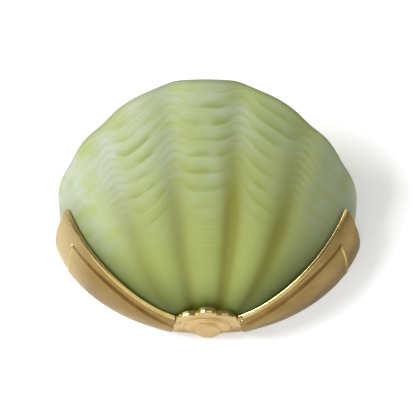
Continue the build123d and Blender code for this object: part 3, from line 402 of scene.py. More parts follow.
@dataclass(frozen=True)
class SatinGlass:
    """Pressed jade-green glass, acid-etched to a satin: milky where it is thin near the rim and
    at the ends, with painted light that makes it paler on the left; olive down its valleys,
    with painted shade at the foot of each ripple and a painted shadow where it dips into the
    gallery.

    Attributes:
        name: the finish's plain name.
        body: hex colour of the glass on the lobes.
        milk: hex colour of the paler streaks near the rim and the ends, partly the glass's own milk
            and partly painted light.
        groove: hex colour down the valleys, where thicker glass turns olive, partly as painted
            shade.
        seat: hex colour of the painted shadow close to the gallery, also of a darker line along the
            rim.
        ripple: hex colour of the painted shade on the lower side of each growth ripple, partly
            thicker glass.
    """

    name: str = "satin_etched_jade_pressed_glass"
    body: str = "#A8B465"
    milk: str = "#B9C2AD"
    groove: str = "#8A8C38"
    seat: str = "#4F591A"
    ripple: str = "#8A983E"

    def material(self) -> bpy.types.Material:
        """Build the glass from its body colour, streaks and valleys, with the painted shade of its
        ripples and the painted shadow of the gallery.

        Returns:
            The material.
        """
        material, tree, shader = new_material(self.name)
        place = add_node(tree, "ShaderNodeTexCoord")
        climb, vein, ripple, seat, milky, phase, ray = (
            add_node(tree, "ShaderNodeAttribute", {"attribute_name": name})
            for name in ("climb", "vein", "ripple", "seat", "milky", "phase", "ray"))
        # Milky streaks that follow the growth lines: long round the shell and 6 to 15 mm high.
        along = add_node(tree, "ShaderNodeCombineXYZ", None,
                         {0: ray.outputs["Fac"], 1: phase.outputs["Fac"]})
        drawn = add_node(tree, "ShaderNodeMapping", {"Scale": (0.055, 13.0, 1.0)},
                         {"Vector": along.outputs[0]})
        streaks = add_node(tree, "ShaderNodeTexNoise",
                           {"Scale": 1.0, "Detail": 4.0, "Roughness": 0.6, "Distortion": 0.7},
                           {"Vector": drawn.outputs["Vector"]})
        # Clouds about 45 mm wide thin the streaks out.
        patches = add_node(tree, "ShaderNodeTexNoise",
                           {"Scale": 22.0, "Detail": 2.0, "Distortion": 0.4},
                           {"Vector": place.outputs["Object"]})
        cloud = add_node(tree, "ShaderNodeMath", {"operation": "ADD"},
                         {0: streaks.outputs["Fac"], 1: patches.outputs["Fac"]})
        cloud = add_node(tree, "ShaderNodeMapRange",
                         {"From Min": 0.70, "From Max": 1.22, "To Min": 0.22},
                         {"Value": cloud.outputs[0]})
        # The milk share is partly the glass's own milk and partly painted light, stronger on the
        # left.
        share = add_node(tree, "ShaderNodeMath", {"operation": "MULTIPLY", "use_clamp": True},
                         {0: milky.outputs["Fac"], 1: cloud.outputs[0]})
        colour = add_node(tree, "ShaderNodeMix",
                          {"data_type": "RGBA", 6: linear(self.body), 7: linear(self.milk)},
                          {0: share.outputs[0]})
        # The valleys turn olive in the lower two thirds, where the glass is thickest, partly as
        # painted shade.
        low = add_node(tree, "ShaderNodeMapRange",
                       {"From Min": 0.86, "From Max": 0.48, "To Min": 0.0, "To Max": 0.85},
                       {"Value": climb.outputs["Fac"]})
        olive = add_node(tree, "ShaderNodeMath", {"operation": "MULTIPLY", "use_clamp": True},
                         {0: low.outputs[0], 1: vein.outputs["Fac"]})
        colour = add_node(tree, "ShaderNodeMix", {"data_type": "RGBA", 7: linear(self.groove)},
                          {0: olive.outputs[0], 6: colour.outputs[2]})
        # Painted shade: each ripple's foot is darker than its crown, partly as thicker glass.
        shade = add_node(tree, "ShaderNodeMath",
                         {"operation": "MULTIPLY", 1: 0.75, "use_clamp": True},
                         {0: ripple.outputs["Fac"]})
        colour = add_node(tree, "ShaderNodeMix", {"data_type": "RGBA", 7: linear(self.ripple)},
                          {0: shade.outputs[0], 6: colour.outputs[2]})
        # Painted shadow: the glass down in the gallery is darker, and so is a thin line along the
        # rim.
        colour = add_node(tree, "ShaderNodeMix", {"data_type": "RGBA", 7: linear(self.seat)},
                          {0: seat.outputs["Fac"], 6: colour.outputs[2]})
        # The etch is a fine even grain, drawn at 0.6 mm so that it just shows.
        etch = add_node(tree, "ShaderNodeTexNoise", {"Scale": 1600.0, "Detail": 2.0},
                        {"Vector": place.outputs["Object"]})
        rough = add_node(tree, "ShaderNodeMapRange", {"To Min": 0.36, "To Max": 0.50},
                         {"Value": etch.outputs["Fac"]})
        bump = add_node(tree, "ShaderNodeBump", {"Strength": 0.15, "Distance": 0.02 * MM},
                        {"Height": etch.outputs["Fac"]})
        shader.inputs["Subsurface Weight"].default_value = 0.25
        shader.inputs["Subsurface Radius"].default_value = (0.6, 1.0, 0.35)
        shader.inputs["Subsurface Scale"].default_value = 3.0 * MM
        shader.inputs["IOR"].default_value = 1.50
        shader.inputs["Specular IOR Level"].default_value = 0.3
        tree.links.new(colour.outputs[2], shader.inputs["Base Color"])
        tree.links.new(rough.outputs[0], shader.inputs["Roughness"])
        tree.links.new(bump.outputs["Normal"], shader.inputs["Normal"])
        return material


class Finishes:
    """Every finish of the light, built once."""

    def __init__(self) -> None:
        """Build the finishes."""
        # Cast brass, satin brushed: warm and soft, with a slightly grainy sheen. Its left end gets
        # a painted highlight.
        self.satin_brass = Metal("satin_cast_brass", "#AD925B", "#9B7F49", Grain.SATIN, 0.36,
                                 tip="#E6D19E").material()
        # The same brass polished on its edges: clear bright lines, partly from its real polish and
        # partly a painted highlight in its lighter colour. Its marks are long swells of 6 mm,
        # because finer ones would look hammered.
        self.polished_and_highlight_brass = Metal("polished_brass_edge_highlight", "#E6CE8C", "#CFB066", Grain.POLISHED,
                                    0.22, grain_size=6.0 * MM, depth=0.01 * MM).material()
        # The groove is painted brown: painted shade down in the recess.
        self.groove_shade_brass = Metal("painted_groove_shade", "#A5844B", "#8A6833", Grain.SATIN,
                                  0.42).material()
        # The two pins are dark brown.
        self.pin_brass = Metal("dark_brown_pin", "#7A5628", "#5E3F1C", Grain.SATIN,
                               0.45).material()
        # The fan's cast brass is painted a little brighter and warmer than the wings': painted
        # light.
        self.motif_brass = Metal("lighter_fan_brass", "#E0C58A", "#D2B06F", Grain.SATIN,
                                 0.33).material()
        # Turned brass straight off the lathe: yellow, with sharp highlights.
        self.turned_brass = Metal("turned_brass", "#D8BC7A", "#C3A05A", Grain.POLISHED,
                                  0.22).material()
        # Zinc plate on steel: cool grey with a faint cloudy passivation.
        self.plated_steel = Metal("zinc_plated_steel", "#B9BBB8", "#A2A5A3", Grain.PLATED,
                                  0.36).material()
        # Nickel plate on brass: pale, slightly warm and bright.
        self.contact_metal = Metal("nickel_plated_brass", "#C9C7BF", "#B4B1A8", Grain.POLISHED,
                                   0.2).material()
        # Drawn tungsten: a dull dark grey.
        self.tungsten = Metal("tungsten_wire", "#6B6863", "#55524D", Grain.PLATED, 0.4).material()
        # Phenolic moulding: near-black brown and glossy.
        self.phenolic = Moulded("black_phenolic", "#1D1917", "#120F0E", 0.28).material()
        # Moulded polyamide: off-white with half its gloss.
        self.block_plastic = Moulded("off_white_polyamide", "#E3E1D6", "#D8D5C8", 0.5).material()
        # Moulded rubber: dark grey and matt.
        self.black_rubber = Moulded("black_rubber", "#2B2A29", "#1F1E1D", 0.75).material()
        # Drawn PVC insulation of the leads: smooth plain colours, the earth striped in yellow.
        self.brown_lead = Moulded("brown_lead_insulation", "#6B4023", "#5A341B", 0.45).material()
        self.blue_lead = Moulded("blue_lead_insulation", "#2F63A8", "#265493", 0.45).material()
        self.earth_lead = Moulded("green_yellow_lead_insulation", "#3F8A3A", "#357A31", 0.45,
                                  stripe="#D9C735").material()
        # Blown glass: clear, with hardly a tint.
        self.bulb_glass = ClearGlass("clear_bulb_glass", "#F4F6F2", 0.04).material()
        # Pressed glass of the lamp's stem: a little greener and less smooth.
        self.stem_glass = ClearGlass("lamp_stem_glass", "#E6ECE4", 0.12).material()
        # Etched pressed glass: milky green and soft, with no sharp glint.
        self.satin_glass = SatinGlass().material()


# ---- shade -------------------------------------------------------------------------------
@dataclass(frozen=True)
class Lip:
    """Line of the gallery's lip in front view: a parabola that turns up at its tip.

    Attributes:
        vertex: height of its lowest point.
        focal: how wide the parabola opens.
        inner: distance from the middle at which it starts.
        outer: distance from the middle at which it ends.
        tip_rise: how far its tip turns up.
        tip_power: how suddenly its tip turns up.
    """

    vertex: float = -84.0 * MM
    focal: float = 181.93 * MM
    inner: float = 20.0 * MM
    outer: float = 134.0 * MM
    tip_rise: float = 11.7 * MM
    tip_power: int = 12

    def height(self, x: Any) -> Any:
        """Height of the lip at this distance from the middle."""
        return self.vertex + x * x / self.focal + self.tip_rise * (x / self.outer) ** self.tip_power


@dataclass
class GlassShade:
    """Fluted shell of pressed glass. Every point lies on a ray from the umbo to the rim, given by
    its angle round the rim in degrees and its climb from 0 at the umbo to 1 at the rim.
    """

    # Rim: half its width, the height of its ends, and its rise and depth in the middle.
    half_width: float = 148.5 * MM
    rim_end: float = 37.5 * MM
    rim_rise: float = 109.0 * MM
    rim_depth: float = 121.0 * MM
    rim_power: float = 1.45
    plan_power: float = 0.85
    # Lift of the rim at both sides of the middle lobe.
    rim_flat: float = 4.4 * MM
    rim_flat_angle: float = 13.0
    rim_flat_spread: float = 6.0
    # Umbo, back edge, thickness, and the foot with its drop towards the ends.
    umbo: float = -92.0 * MM
    back: float = 4.3 * MM
    wall: float = 4.0 * MM
    foot: float = -74.2 * MM
    foot_drop: float = 7.0 * MM
    # Roundness of the upright profile, in the middle and at the ends, and of the sideways reach.
    profile_middle: float = 1.66
    profile_side: float = 2.30
    reach_power: float = 0.37
    reach_side: float = 0.14
    edge_power: int = 8
    edge_round: float = 2.2
    # Flutes: the valleys' angles, half width and form, and the heights of valleys and lobes.
    valleys: tuple[float, ...] = (14.0, 43.0, 64.0)
    valley_half: float = 5.4
    valley_power: float = 2.1
    flute_depth: float = 2.7 * MM
    lobe_rise: float = 1.8 * MM
    lobe_end: float = 91.0
    flute_power: float = 0.6
    inner_ease: float = 0.25
    # Middle and half width of the soft olive band in each inner valley.
    veins: tuple[tuple[float, float], ...] = ((13.5, 6.0), (41.5, 7.5))
    # Sag of the growth lines, in thousandths of the climb, at these angles.
    sag_angles: tuple[float, ...] = (0, 7, 11, 14, 20, 27, 34, 39, 43, 47, 54, 60, 64, 70, 78, 90)
    sags: tuple[float, ...] = (13, 10, 4, -4, 12, 36, 48, 30, 10, 12, 20, 10, 2, 6, 12, 0)
    sag_smooth: int = 6
    # Gallery's lip, and how far the painted shadow of the gallery reaches up the glass above it.
    lip: Lip = Lip()
    shadow_reach: float = 48.0 * MM
    shadow_power: float = 1.5
    # Mesh: rays across, rows up the outer face, over the rim and down the inner face.
    rays: int = 300
    rows: int = 260
    inner_rows: int = 30
    rim_rows: int = 3
    row_power: float = 1.15
    rim_bulge: float = 0.35
    # Lug: its reach from the clip's inner end, half its height, its depth and its round edge.
    lug_reach: tuple[float, float] = (13.5 * MM, 20.5 * MM)
    lug_half_height: float = 5.0 * MM
    lug_depth: float = 5.0 * MM
    lug_edge: float = 0.8 * MM
    growth: dict[str, float] = field(default_factory=lambda: {
        "Ripple Count": 15.5, "Ripple Height": 0.5 * MM, "Valley Arch": 0.02, "Rung Count": 27.0,
        "Rung Height": 0.12 * MM, "Fine Count": 54.0, "Fine Height": 0.08 * MM, "Wander": 0.045,
        "Patch Size": 32.0, "Seed": 4.0})

    def valley_share(self, angle: np.ndarray) -> np.ndarray:
        """1 in the middle of a valley, falling to 0 beside it."""
        return sum(np.exp(-np.abs((np.abs(angle) - middle) / self.valley_half) ** self.valley_power)
                   for middle in self.valleys)

    def vein_share(self, angle: np.ndarray) -> np.ndarray:
        """1 in the middle of the four inner valleys, falling to 0 in a broad soft band."""
        return sum(np.exp(-((np.abs(angle) - middle) / half) ** 2) for middle, half in self.veins)

    def crown_share(self, angle: np.ndarray) -> np.ndarray:
        """Find where the crowns of the lobes are.

        Args:
            angle: degrees round the rim.

        Returns:
            1 on the crown of a lobe, 0 at its edges.
        """
        edges = [-self.valleys[0], *self.valleys, self.lobe_end]
        off, crown = np.abs(angle), np.zeros_like(angle)
        for low, high in zip(edges, edges[1:]):
            inside = (off >= max(low, 0.0)) & (off <= high)
            crown = np.where(inside, np.sin(np.pi * (off - low) / (high - low)) ** 2, crown)
        return crown

    def wave(self, angle: np.ndarray) -> np.ndarray:
        """Height of the lobes and depth of the valleys round the shell."""
        return self.crown_share(angle) * self.lobe_rise \
            - self.valley_share(angle) * self.flute_depth

    def grown(self, height: Any, climb: Any) -> Any:
        """Height of a flute at this climb: it grows from the umbo and eases at the rim."""
        return height * climb ** self.flute_power * (1.2 - 0.5 * climb ** 3)

    def swag(self, rays: np.ndarray) -> np.ndarray:
        """Sag of the growth lines across the lobes.

        Args:
            rays: evenly spaced angles in degrees.

        Returns:
            Sag at each ray as a share of the climb, smoothed over its neighbours.
        """
        pad = self.sag_smooth
        rough = np.interp(np.abs(rays), self.sag_angles, np.array(self.sags) / 1000)
        ends = np.concatenate([rough[:pad][::-1], rough, rough[-pad:][::-1]])
        kernel = np.hanning(2 * pad + 3)[1:-1]
        return np.convolve(ends, kernel / kernel.sum(), "same")[pad:-pad]

    def plain(self, angle: np.ndarray, climb: np.ndarray) -> np.ndarray:
        """Points of the smooth shell, before its flutes.

        Args:
            angle: degrees round the rim.
            climb: shares of the ray.

        Returns:
            Points, with x, y and z on the last axis.
        """
        side = np.sin(np.radians(angle))
        front = np.maximum(np.cos(np.radians(angle)), 0.0)
        off = np.abs(angle)
        flat = self.rim_flat * np.exp(-((off - self.rim_flat_angle) / self.rim_flat_spread) ** 2)
        rim_z = self.rim_end + self.rim_rise * front ** self.rim_power \
            + self.wave(angle) * front * self.lobe_rise / self.flute_depth + flat
        rim_out = (self.rim_depth - self.back) * front ** self.plan_power
        edge = np.abs(side) ** self.edge_power
        power = self.profile_middle + (self.profile_side - self.profile_middle) * side ** 2
        reach = (1 - edge) * climb ** (self.reach_power + self.reach_side * np.abs(side)) \
            + edge * (1 - (1 - climb) ** self.edge_round) ** (1 / self.edge_round)
        out = rim_out * (1 - (1 - climb) ** power) ** (1 / power)
        x, y = self.half_width * side * reach, -self.back - out
        return np.stack(np.broadcast_arrays(x, y, self.umbo + (rim_z - self.umbo) * climb), axis=-1)

    def normal(self, angle: np.ndarray, climb: np.ndarray) -> np.ndarray:
        """Outward directions of the smooth shell.

        Args:
            angle: degrees round the rim.
            climb: shares of the ray.

        Returns:
            Directions of length 1, from the points just beside each place.
        """
        turn, step, last_angle, first_climb = 0.6, 0.01, 89.9, 0.002
        across = self.plain(np.minimum(angle + turn, last_angle), climb) \
            - self.plain(np.maximum(angle - turn, -last_angle), climb)
        along = self.plain(angle, np.minimum(climb + step, 1.0)) \
            - self.plain(angle, np.maximum(climb - step, first_climb))
        out = np.cross(across, along)
        return out / np.linalg.norm(out, axis=-1, keepdims=True)

    def foot_climb(self, angle: np.ndarray) -> np.ndarray:
        """Climb at which the glass starts on each ray."""
        start = self.foot - self.foot_drop * np.abs(np.sin(np.radians(angle))) ** 2
        return (start - self.umbo) / (self.plain(angle, np.ones_like(angle))[..., 2] - self.umbo)

    def surface(self, angle: np.ndarray, climb: np.ndarray, inward: float) -> np.ndarray:
        """Points of the fluted shell, this far inside its outer face.

        Args:
            angle: degrees round the rim.
            climb: shares of the ray.
            inward: depth below the outer face, in metres.

        Returns:
            Points, with x, y and z on the last axis.
        """
        front = np.maximum(np.cos(np.radians(angle)), 0.0)
        flute = self.grown(self.wave(angle), climb) * front
        lift = flute * (1 - self.inner_ease * inward / self.wall) - inward
        points = self.plain(angle, climb) + self.normal(angle, climb) * lift[..., None]
        y = np.minimum(points[..., 1], -self.back)
        points[..., 1] = np.where(np.abs(angle) >= 90, -self.back, y)
        return points

    def masks(self, angle: np.ndarray, climb: np.ndarray,
              points: np.ndarray) -> dict[str, np.ndarray]:
        """What the finish and the growth ripples read at each point.

        Args:
            angle: degrees round the rim.
            climb: shares of the ray.
            points: the points in metres.

        Returns:
            Each attribute's values by its name.
        """
        off, valley = np.abs(angle), self.valley_share(angle)
        # Painted shadow of the gallery: deepest at the lip and weaker at the gallery's tips. Also a
        # darker line along the rim.
        out = np.minimum(np.abs(points[:, 0]), self.lip.outer)
        above = ramp(points[:, 2], self.lip.height(out), self.shadow_reach)
        seat = (1 - above) ** self.shadow_power * (1 - 0.8 * np.clip(out / self.lip.outer, 0, 1) ** 5)
        edge = ramp(climb, 0.975, 0.025) ** 2
        # Milk, partly the glass's own and partly painted light: from the upper half to the rim, and
        # at the ends, where it is also a painted sheen. The extra milk in the left valleys is
        # painted light.
        far = ramp(off, 38, 24)
        milky = ramp(climb, 0.32, 0.5) * (0.85 + 0.15 * far) + 0.25 * far \
            + 0.5 * valley * ramp(climb, 0.25, 0.3) * (angle < 0)
        # Painted light: the milk fades from the left side to the right, because the light falls
        # from the upper left.
        fade = np.interp(angle, (-60, 0, 12, 30, 90), (1.0, 0.95, 0.8, 0.6, 0.6))
        # The olive veins are stronger on the right: painted shade on the side away from the light.
        # The ripples run out towards the ends.
        right_side_shade = np.interp(angle, (-30, 0, 10, 30), (0.8, 0.8, 1.45, 1.25))
        lobe = np.interp(off, (0, 12, 16, 24, 36, 43, 60, 80),
                         (1, 1, 0.8, 1, 0.85, 0.25, 0.15, 0.03))
        return {"valley": np.clip(valley * (off < 60), 0, 1),
                "vein": self.vein_share(angle) * right_side_shade, "lobe": lobe, "milky": milky * fade,
                "seat": np.maximum(seat, 0.4 * edge)}

    def mesh(self, material: bpy.types.Material) -> bpy.types.Object:
        """Closed shell with its outer face, rounded rim, inner face and foot.

        Args:
            material: the glass.

        Returns:
            The shell, with what its finish and its growth ripples need kept as attributes.
        """
        rays = np.linspace(-90, 90, self.rays + 1)
        foot, top = self.foot_climb(rays), np.ones_like(rays)
        # Each row has its points, its climb, and 1 on the outer face or 0 elsewhere.
        rows = []
        for j in range(self.rows + 1):
            climb = foot + (1 - foot) * (j / self.rows) ** self.row_power
            rows.append((self.surface(rays, climb, 0.0), climb, 1.0))
        rim_way = self.plain(rays, top) - self.plain(rays, np.full_like(rays, 0.985))
        rim_way /= np.linalg.norm(rim_way, axis=-1, keepdims=True)
        for j in range(1, self.rim_rows + 1):
            share = j / (self.rim_rows + 1)
            bulge = self.rim_bulge * self.wall * math.sin(math.pi * share)
            points = self.surface(rays, top, self.wall * share) + rim_way * bulge
            points[[0, -1]] -= rim_way[[0, -1]] * bulge
            rows.append((points, top, 0.0))
        for j in range(self.inner_rows, -1, -1):
            climb = foot + (1 - foot) * (j / self.inner_rows) ** self.row_power
            rows.append((self.surface(rays, climb, self.wall), climb, 0.0))
        count, width = len(rows), self.rays + 1
        faces = []
        for j in range(count):
            here, there = j * width, ((j + 1) % count) * width
            faces += [(here + i, here + i + 1, there + i + 1, there + i) for i in range(self.rays)]
        faces.append([j * width for j in range(count)])
        faces.append([j * width + self.rays for j in reversed(range(count))])
        vertices = np.concatenate([points for points, _, _ in rows])
        shell = mesh_object("glass_shade_shell", vertices, faces, material)
        angle, climb = np.tile(rays, count), np.concatenate([climb for _, climb, _ in rows])
        values = {"ray": angle, "climb": climb, "phase": climb + np.tile(self.swag(rays), count),
                  "skin": np.repeat([skin for _, _, skin in rows], width),
                  **self.masks(angle, climb, vertices)}
        for name, value in values.items():
            layer = shell.data.attributes.new(name, "FLOAT", "POINT")
            layer.data.foreach_set("value", value.astype(np.float32))
        return shell

    def growth_tree(self, material: bpy.types.Material) -> bpy.types.NodeTree:
        """Tree that raises the growth ripples on the lobes and the rungs in the valleys.

        Args:
            material: the glass.

        Returns:
            The node tree, with its sizes as named inputs.
        """
        tree = bpy.data.node_groups.new("growth_ripples", "GeometryNodeTree")
        tree.interface.new_socket("Geometry", in_out="INPUT", socket_type="NodeSocketGeometry")
        for name in self.growth:
            tree.interface.new_socket(name, in_out="INPUT", socket_type="NodeSocketFloat")
        tree.interface.new_socket("Geometry", in_out="OUTPUT", socket_type="NodeSocketGeometry")
        given = add_node(tree, "NodeGroupInput").outputs

        def value_of(name: str) -> bpy.types.NodeSocket:
            """Named attribute of the shell."""
            return add_node(tree, "GeometryNodeInputNamedAttribute",
                            {"data_type": "FLOAT", "Name": name}).outputs[0]

        def maths(operation: str, first: Any, *others: Any) -> bpy.types.NodeSocket:
            """One sum, repeated where it is given more than two terms.

            Args:
                operation: Blender's name of the sum.
                first: socket or number.
                others: sockets or numbers that follow it.

            Returns:
                The socket of the result.
            """
            total = first
            for other in others or (0.0,):
                settings, links = {"operation": operation}, {}
                for i, item in enumerate((total, other)):
                    (links if isinstance(item, bpy.types.NodeSocket) else settings)[i] = item
                total = add_node(tree, "ShaderNodeMath", settings, links).outputs[0]
            return total

        def noise(scale: Any, shift: float) -> bpy.types.NodeSocket:
            """Soft noise over the shell.

            Args:
                scale: socket or number.
                shift: what is added to the seed.

            Returns:
                The socket of a value from -0.5 to 0.5.
            """
            settings, links = {"noise_dimensions": "4D", "Detail": 1.0}, {}
            links["W"] = maths("ADD", given["Seed"], shift)
            (links if isinstance(scale, bpy.types.NodeSocket) else settings)["Scale"] = scale
            cloud = add_node(tree, "ShaderNodeTexNoise", settings, links)
            return maths("SUBTRACT", cloud.outputs[0], 0.5)

        def shaped(value: bpy.types.NodeSocket,
                   *points: tuple[float, float]) -> bpy.types.NodeSocket:
            """Value through a smooth curve."""
            return add_node(tree, "ShaderNodeFloatCurve", {"points": list(points)},
                            {"Value": value}).outputs[0]

        climb, valley, lobe, sagged, skin = (
            value_of(name) for name in ("climb", "valley", "lobe", "phase", "skin"))
        # Growth ripples: each band bulges out over its foot and fades along its length. The dark
        # line at the foot is painted shade, stored below.
        phase = maths("SUBTRACT", sagged, maths("MULTIPLY", valley, given["Valley Arch"]))
        phase = maths("ADD", phase, maths("MULTIPLY", noise(18.0, 0.0), given["Wander"]))
        saw = maths("FRACT", maths("MULTIPLY", phase, given["Ripple Count"]))
        reach = shaped(climb, (0.0, 0.0), (0.34, 0.06), (0.5, 0.5), (0.68, 1.0), (0.86, 1.0),
                       (0.97, 0.35), (1.0, 0.0))
        patch = shaped(maths("ADD", noise(given["Patch Size"], 7.0), 0.5), (0.0, 0.12), (0.36, 0.2),
                       (0.62, 1.0), (1.0, 1.0))
        force = maths("MULTIPLY", reach, patch, lobe)
        step = shaped(saw, (0.0, 0.0), (0.14, 1.0), (0.55, 0.5), (1.0, 0.0))
        lobes = maths("MULTIPLY", maths("SUBTRACT", step, 0.4), force,
                      maths("SUBTRACT", 1.0, maths("MULTIPLY", valley, 0.7)))
        rungs = maths("SINE", maths("MULTIPLY", phase, given["Rung Count"], 2 * math.pi))
        rungs = maths("MULTIPLY", rungs, valley, reach)
        # Fine lines, on the lower half and close to the rim.
        fine = maths("SINE", maths("MULTIPLY", phase, given["Fine Count"], 2 * math.pi))
        band = shaped(climb, (0.0, 0.0), (0.12, 0.2), (0.3, 1.0), (0.5, 0.9), (0.62, 0.35),
                      (0.86, 0.3), (0.95, 0.9), (1.0, 0.2))
        patchy = shaped(maths("ADD", noise(26.0, 13.0), 0.5), (0.0, 0.0), (0.4, 0.1),
                        (0.65, 1.0), (1.0, 1.0))
        fine = maths("MULTIPLY", maths("MULTIPLY", fine, band), maths("MULTIPLY", patchy, lobe))
        # All three lift the outer face only.
        lift = maths("ADD", maths("MULTIPLY", lobes, given["Ripple Height"]),
                     maths("MULTIPLY", rungs, given["Rung Height"]),
                     maths("MULTIPLY", fine, given["Fine Height"]))
        normal = add_node(tree, "GeometryNodeInputNormal").outputs[0]
        offset = add_node(tree, "ShaderNodeVectorMath", {"operation": "SCALE"},
                          {0: normal, "Scale": maths("MULTIPLY", lift, skin)}).outputs[0]
        moved = add_node(tree, "GeometryNodeSetPosition", None,
                         {"Geometry": given["Geometry"], "Offset": offset}).outputs[0]
        # Painted shade for the finish: the foot of each ripple, which turns away from the light,
        # and a little of the rungs and fine lines are darker, partly as thicker glass.
        dark = shaped(saw, (0.0, 0.9), (0.14, 0.9), (0.36, 0.5), (0.66, 0.1), (0.92, 0.0),
                      (1.0, 0.6))
        dark = maths("ADD", maths("MULTIPLY", dark, force, maths("SUBTRACT", 1.0, valley)),
                     maths("MULTIPLY", maths("MAXIMUM", rungs, 0.0), 0.3),
                     maths("MULTIPLY", maths("MAXIMUM", fine, 0.0), 0.28))
        stored = add_node(tree, "GeometryNodeStoreNamedAttribute",
                          {"data_type": "FLOAT", "domain": "POINT", "Name": "ripple"},
                          {"Geometry": moved, "Value": maths("MULTIPLY", dark, skin)}).outputs[0]
        real = add_node(tree, "GeometryNodeRealizeInstances", None, {"Geometry": stored}).outputs[0]
        dressed = add_node(tree, "GeometryNodeSetMaterial", {"Material": material},
                           {"Geometry": real}).outputs[0]
        add_node(tree, "NodeGroupOutput", None, {"Geometry": dressed})
        return tree

    def build(self, finishes: Finishes) -> None:
        """Make the shade with its lugs and hang it in place of the plain one.

        Args:
            finishes: the light's finishes.
        """
        shell = self.mesh(finishes.satin_glass)
        growth = shell.modifiers.new("growth", "NODES")
        growth.node_group = self.growth_tree(finishes.satin_glass)
        set_inputs(growth, self.growth)
        bake_modifiers(shell)
        fix(shell, "fixture", "satin_glass", "glass_shade")
        self.lugs(finishes)

    def lugs(self, finishes: Finishes) -> None:
        """Make the two lugs inside the back edge, under the turn clips.

        Args:
            finishes: the light's finishes.
        """
        low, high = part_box("right_shade_clip")
        middle = (low.z + high.z) / 2
        for name, sign in (("right_glass_lug", 1), ("left_glass_lug", -1)):
            corners = [(sign * (low.x + reach), y, z) for reach in self.lug_reach
                       for y in (-self.back, -self.back - self.lug_depth)
                       for z in (middle - self.lug_half_height, middle + self.lug_half_height)]
            faces = [(0, 1, 3, 2), (4, 6, 7, 5), (0, 4, 5, 1), (2, 3, 7, 6), (0, 2, 6, 4),
                     (1, 5, 7, 3)]
            lug = mesh_object(name, corners, faces, finishes.satin_glass)
            edge = lug.modifiers.new("edge", "BEVEL")
            edge.width, edge.segments = self.lug_edge, 3
            bake_modifiers(lug)
            recalculate_normals(lug)
            fix(lug, "fixture", "satin_glass")


# ---- brass gallery -----------------------------------------------------------------------
# Two places of the upright cut that ends each wing beside the fan, in plan.
WING_END_OUTER = (36.8 * MM, -8.0 * MM)
WING_END_INNER = (31.2 * MM, -38.0 * MM)


class Zone(IntEnum):
    """Finish of a casting's face: its number among the casting's materials."""

    CAST = 0
    POLISHED = 1
    GROOVE = 2


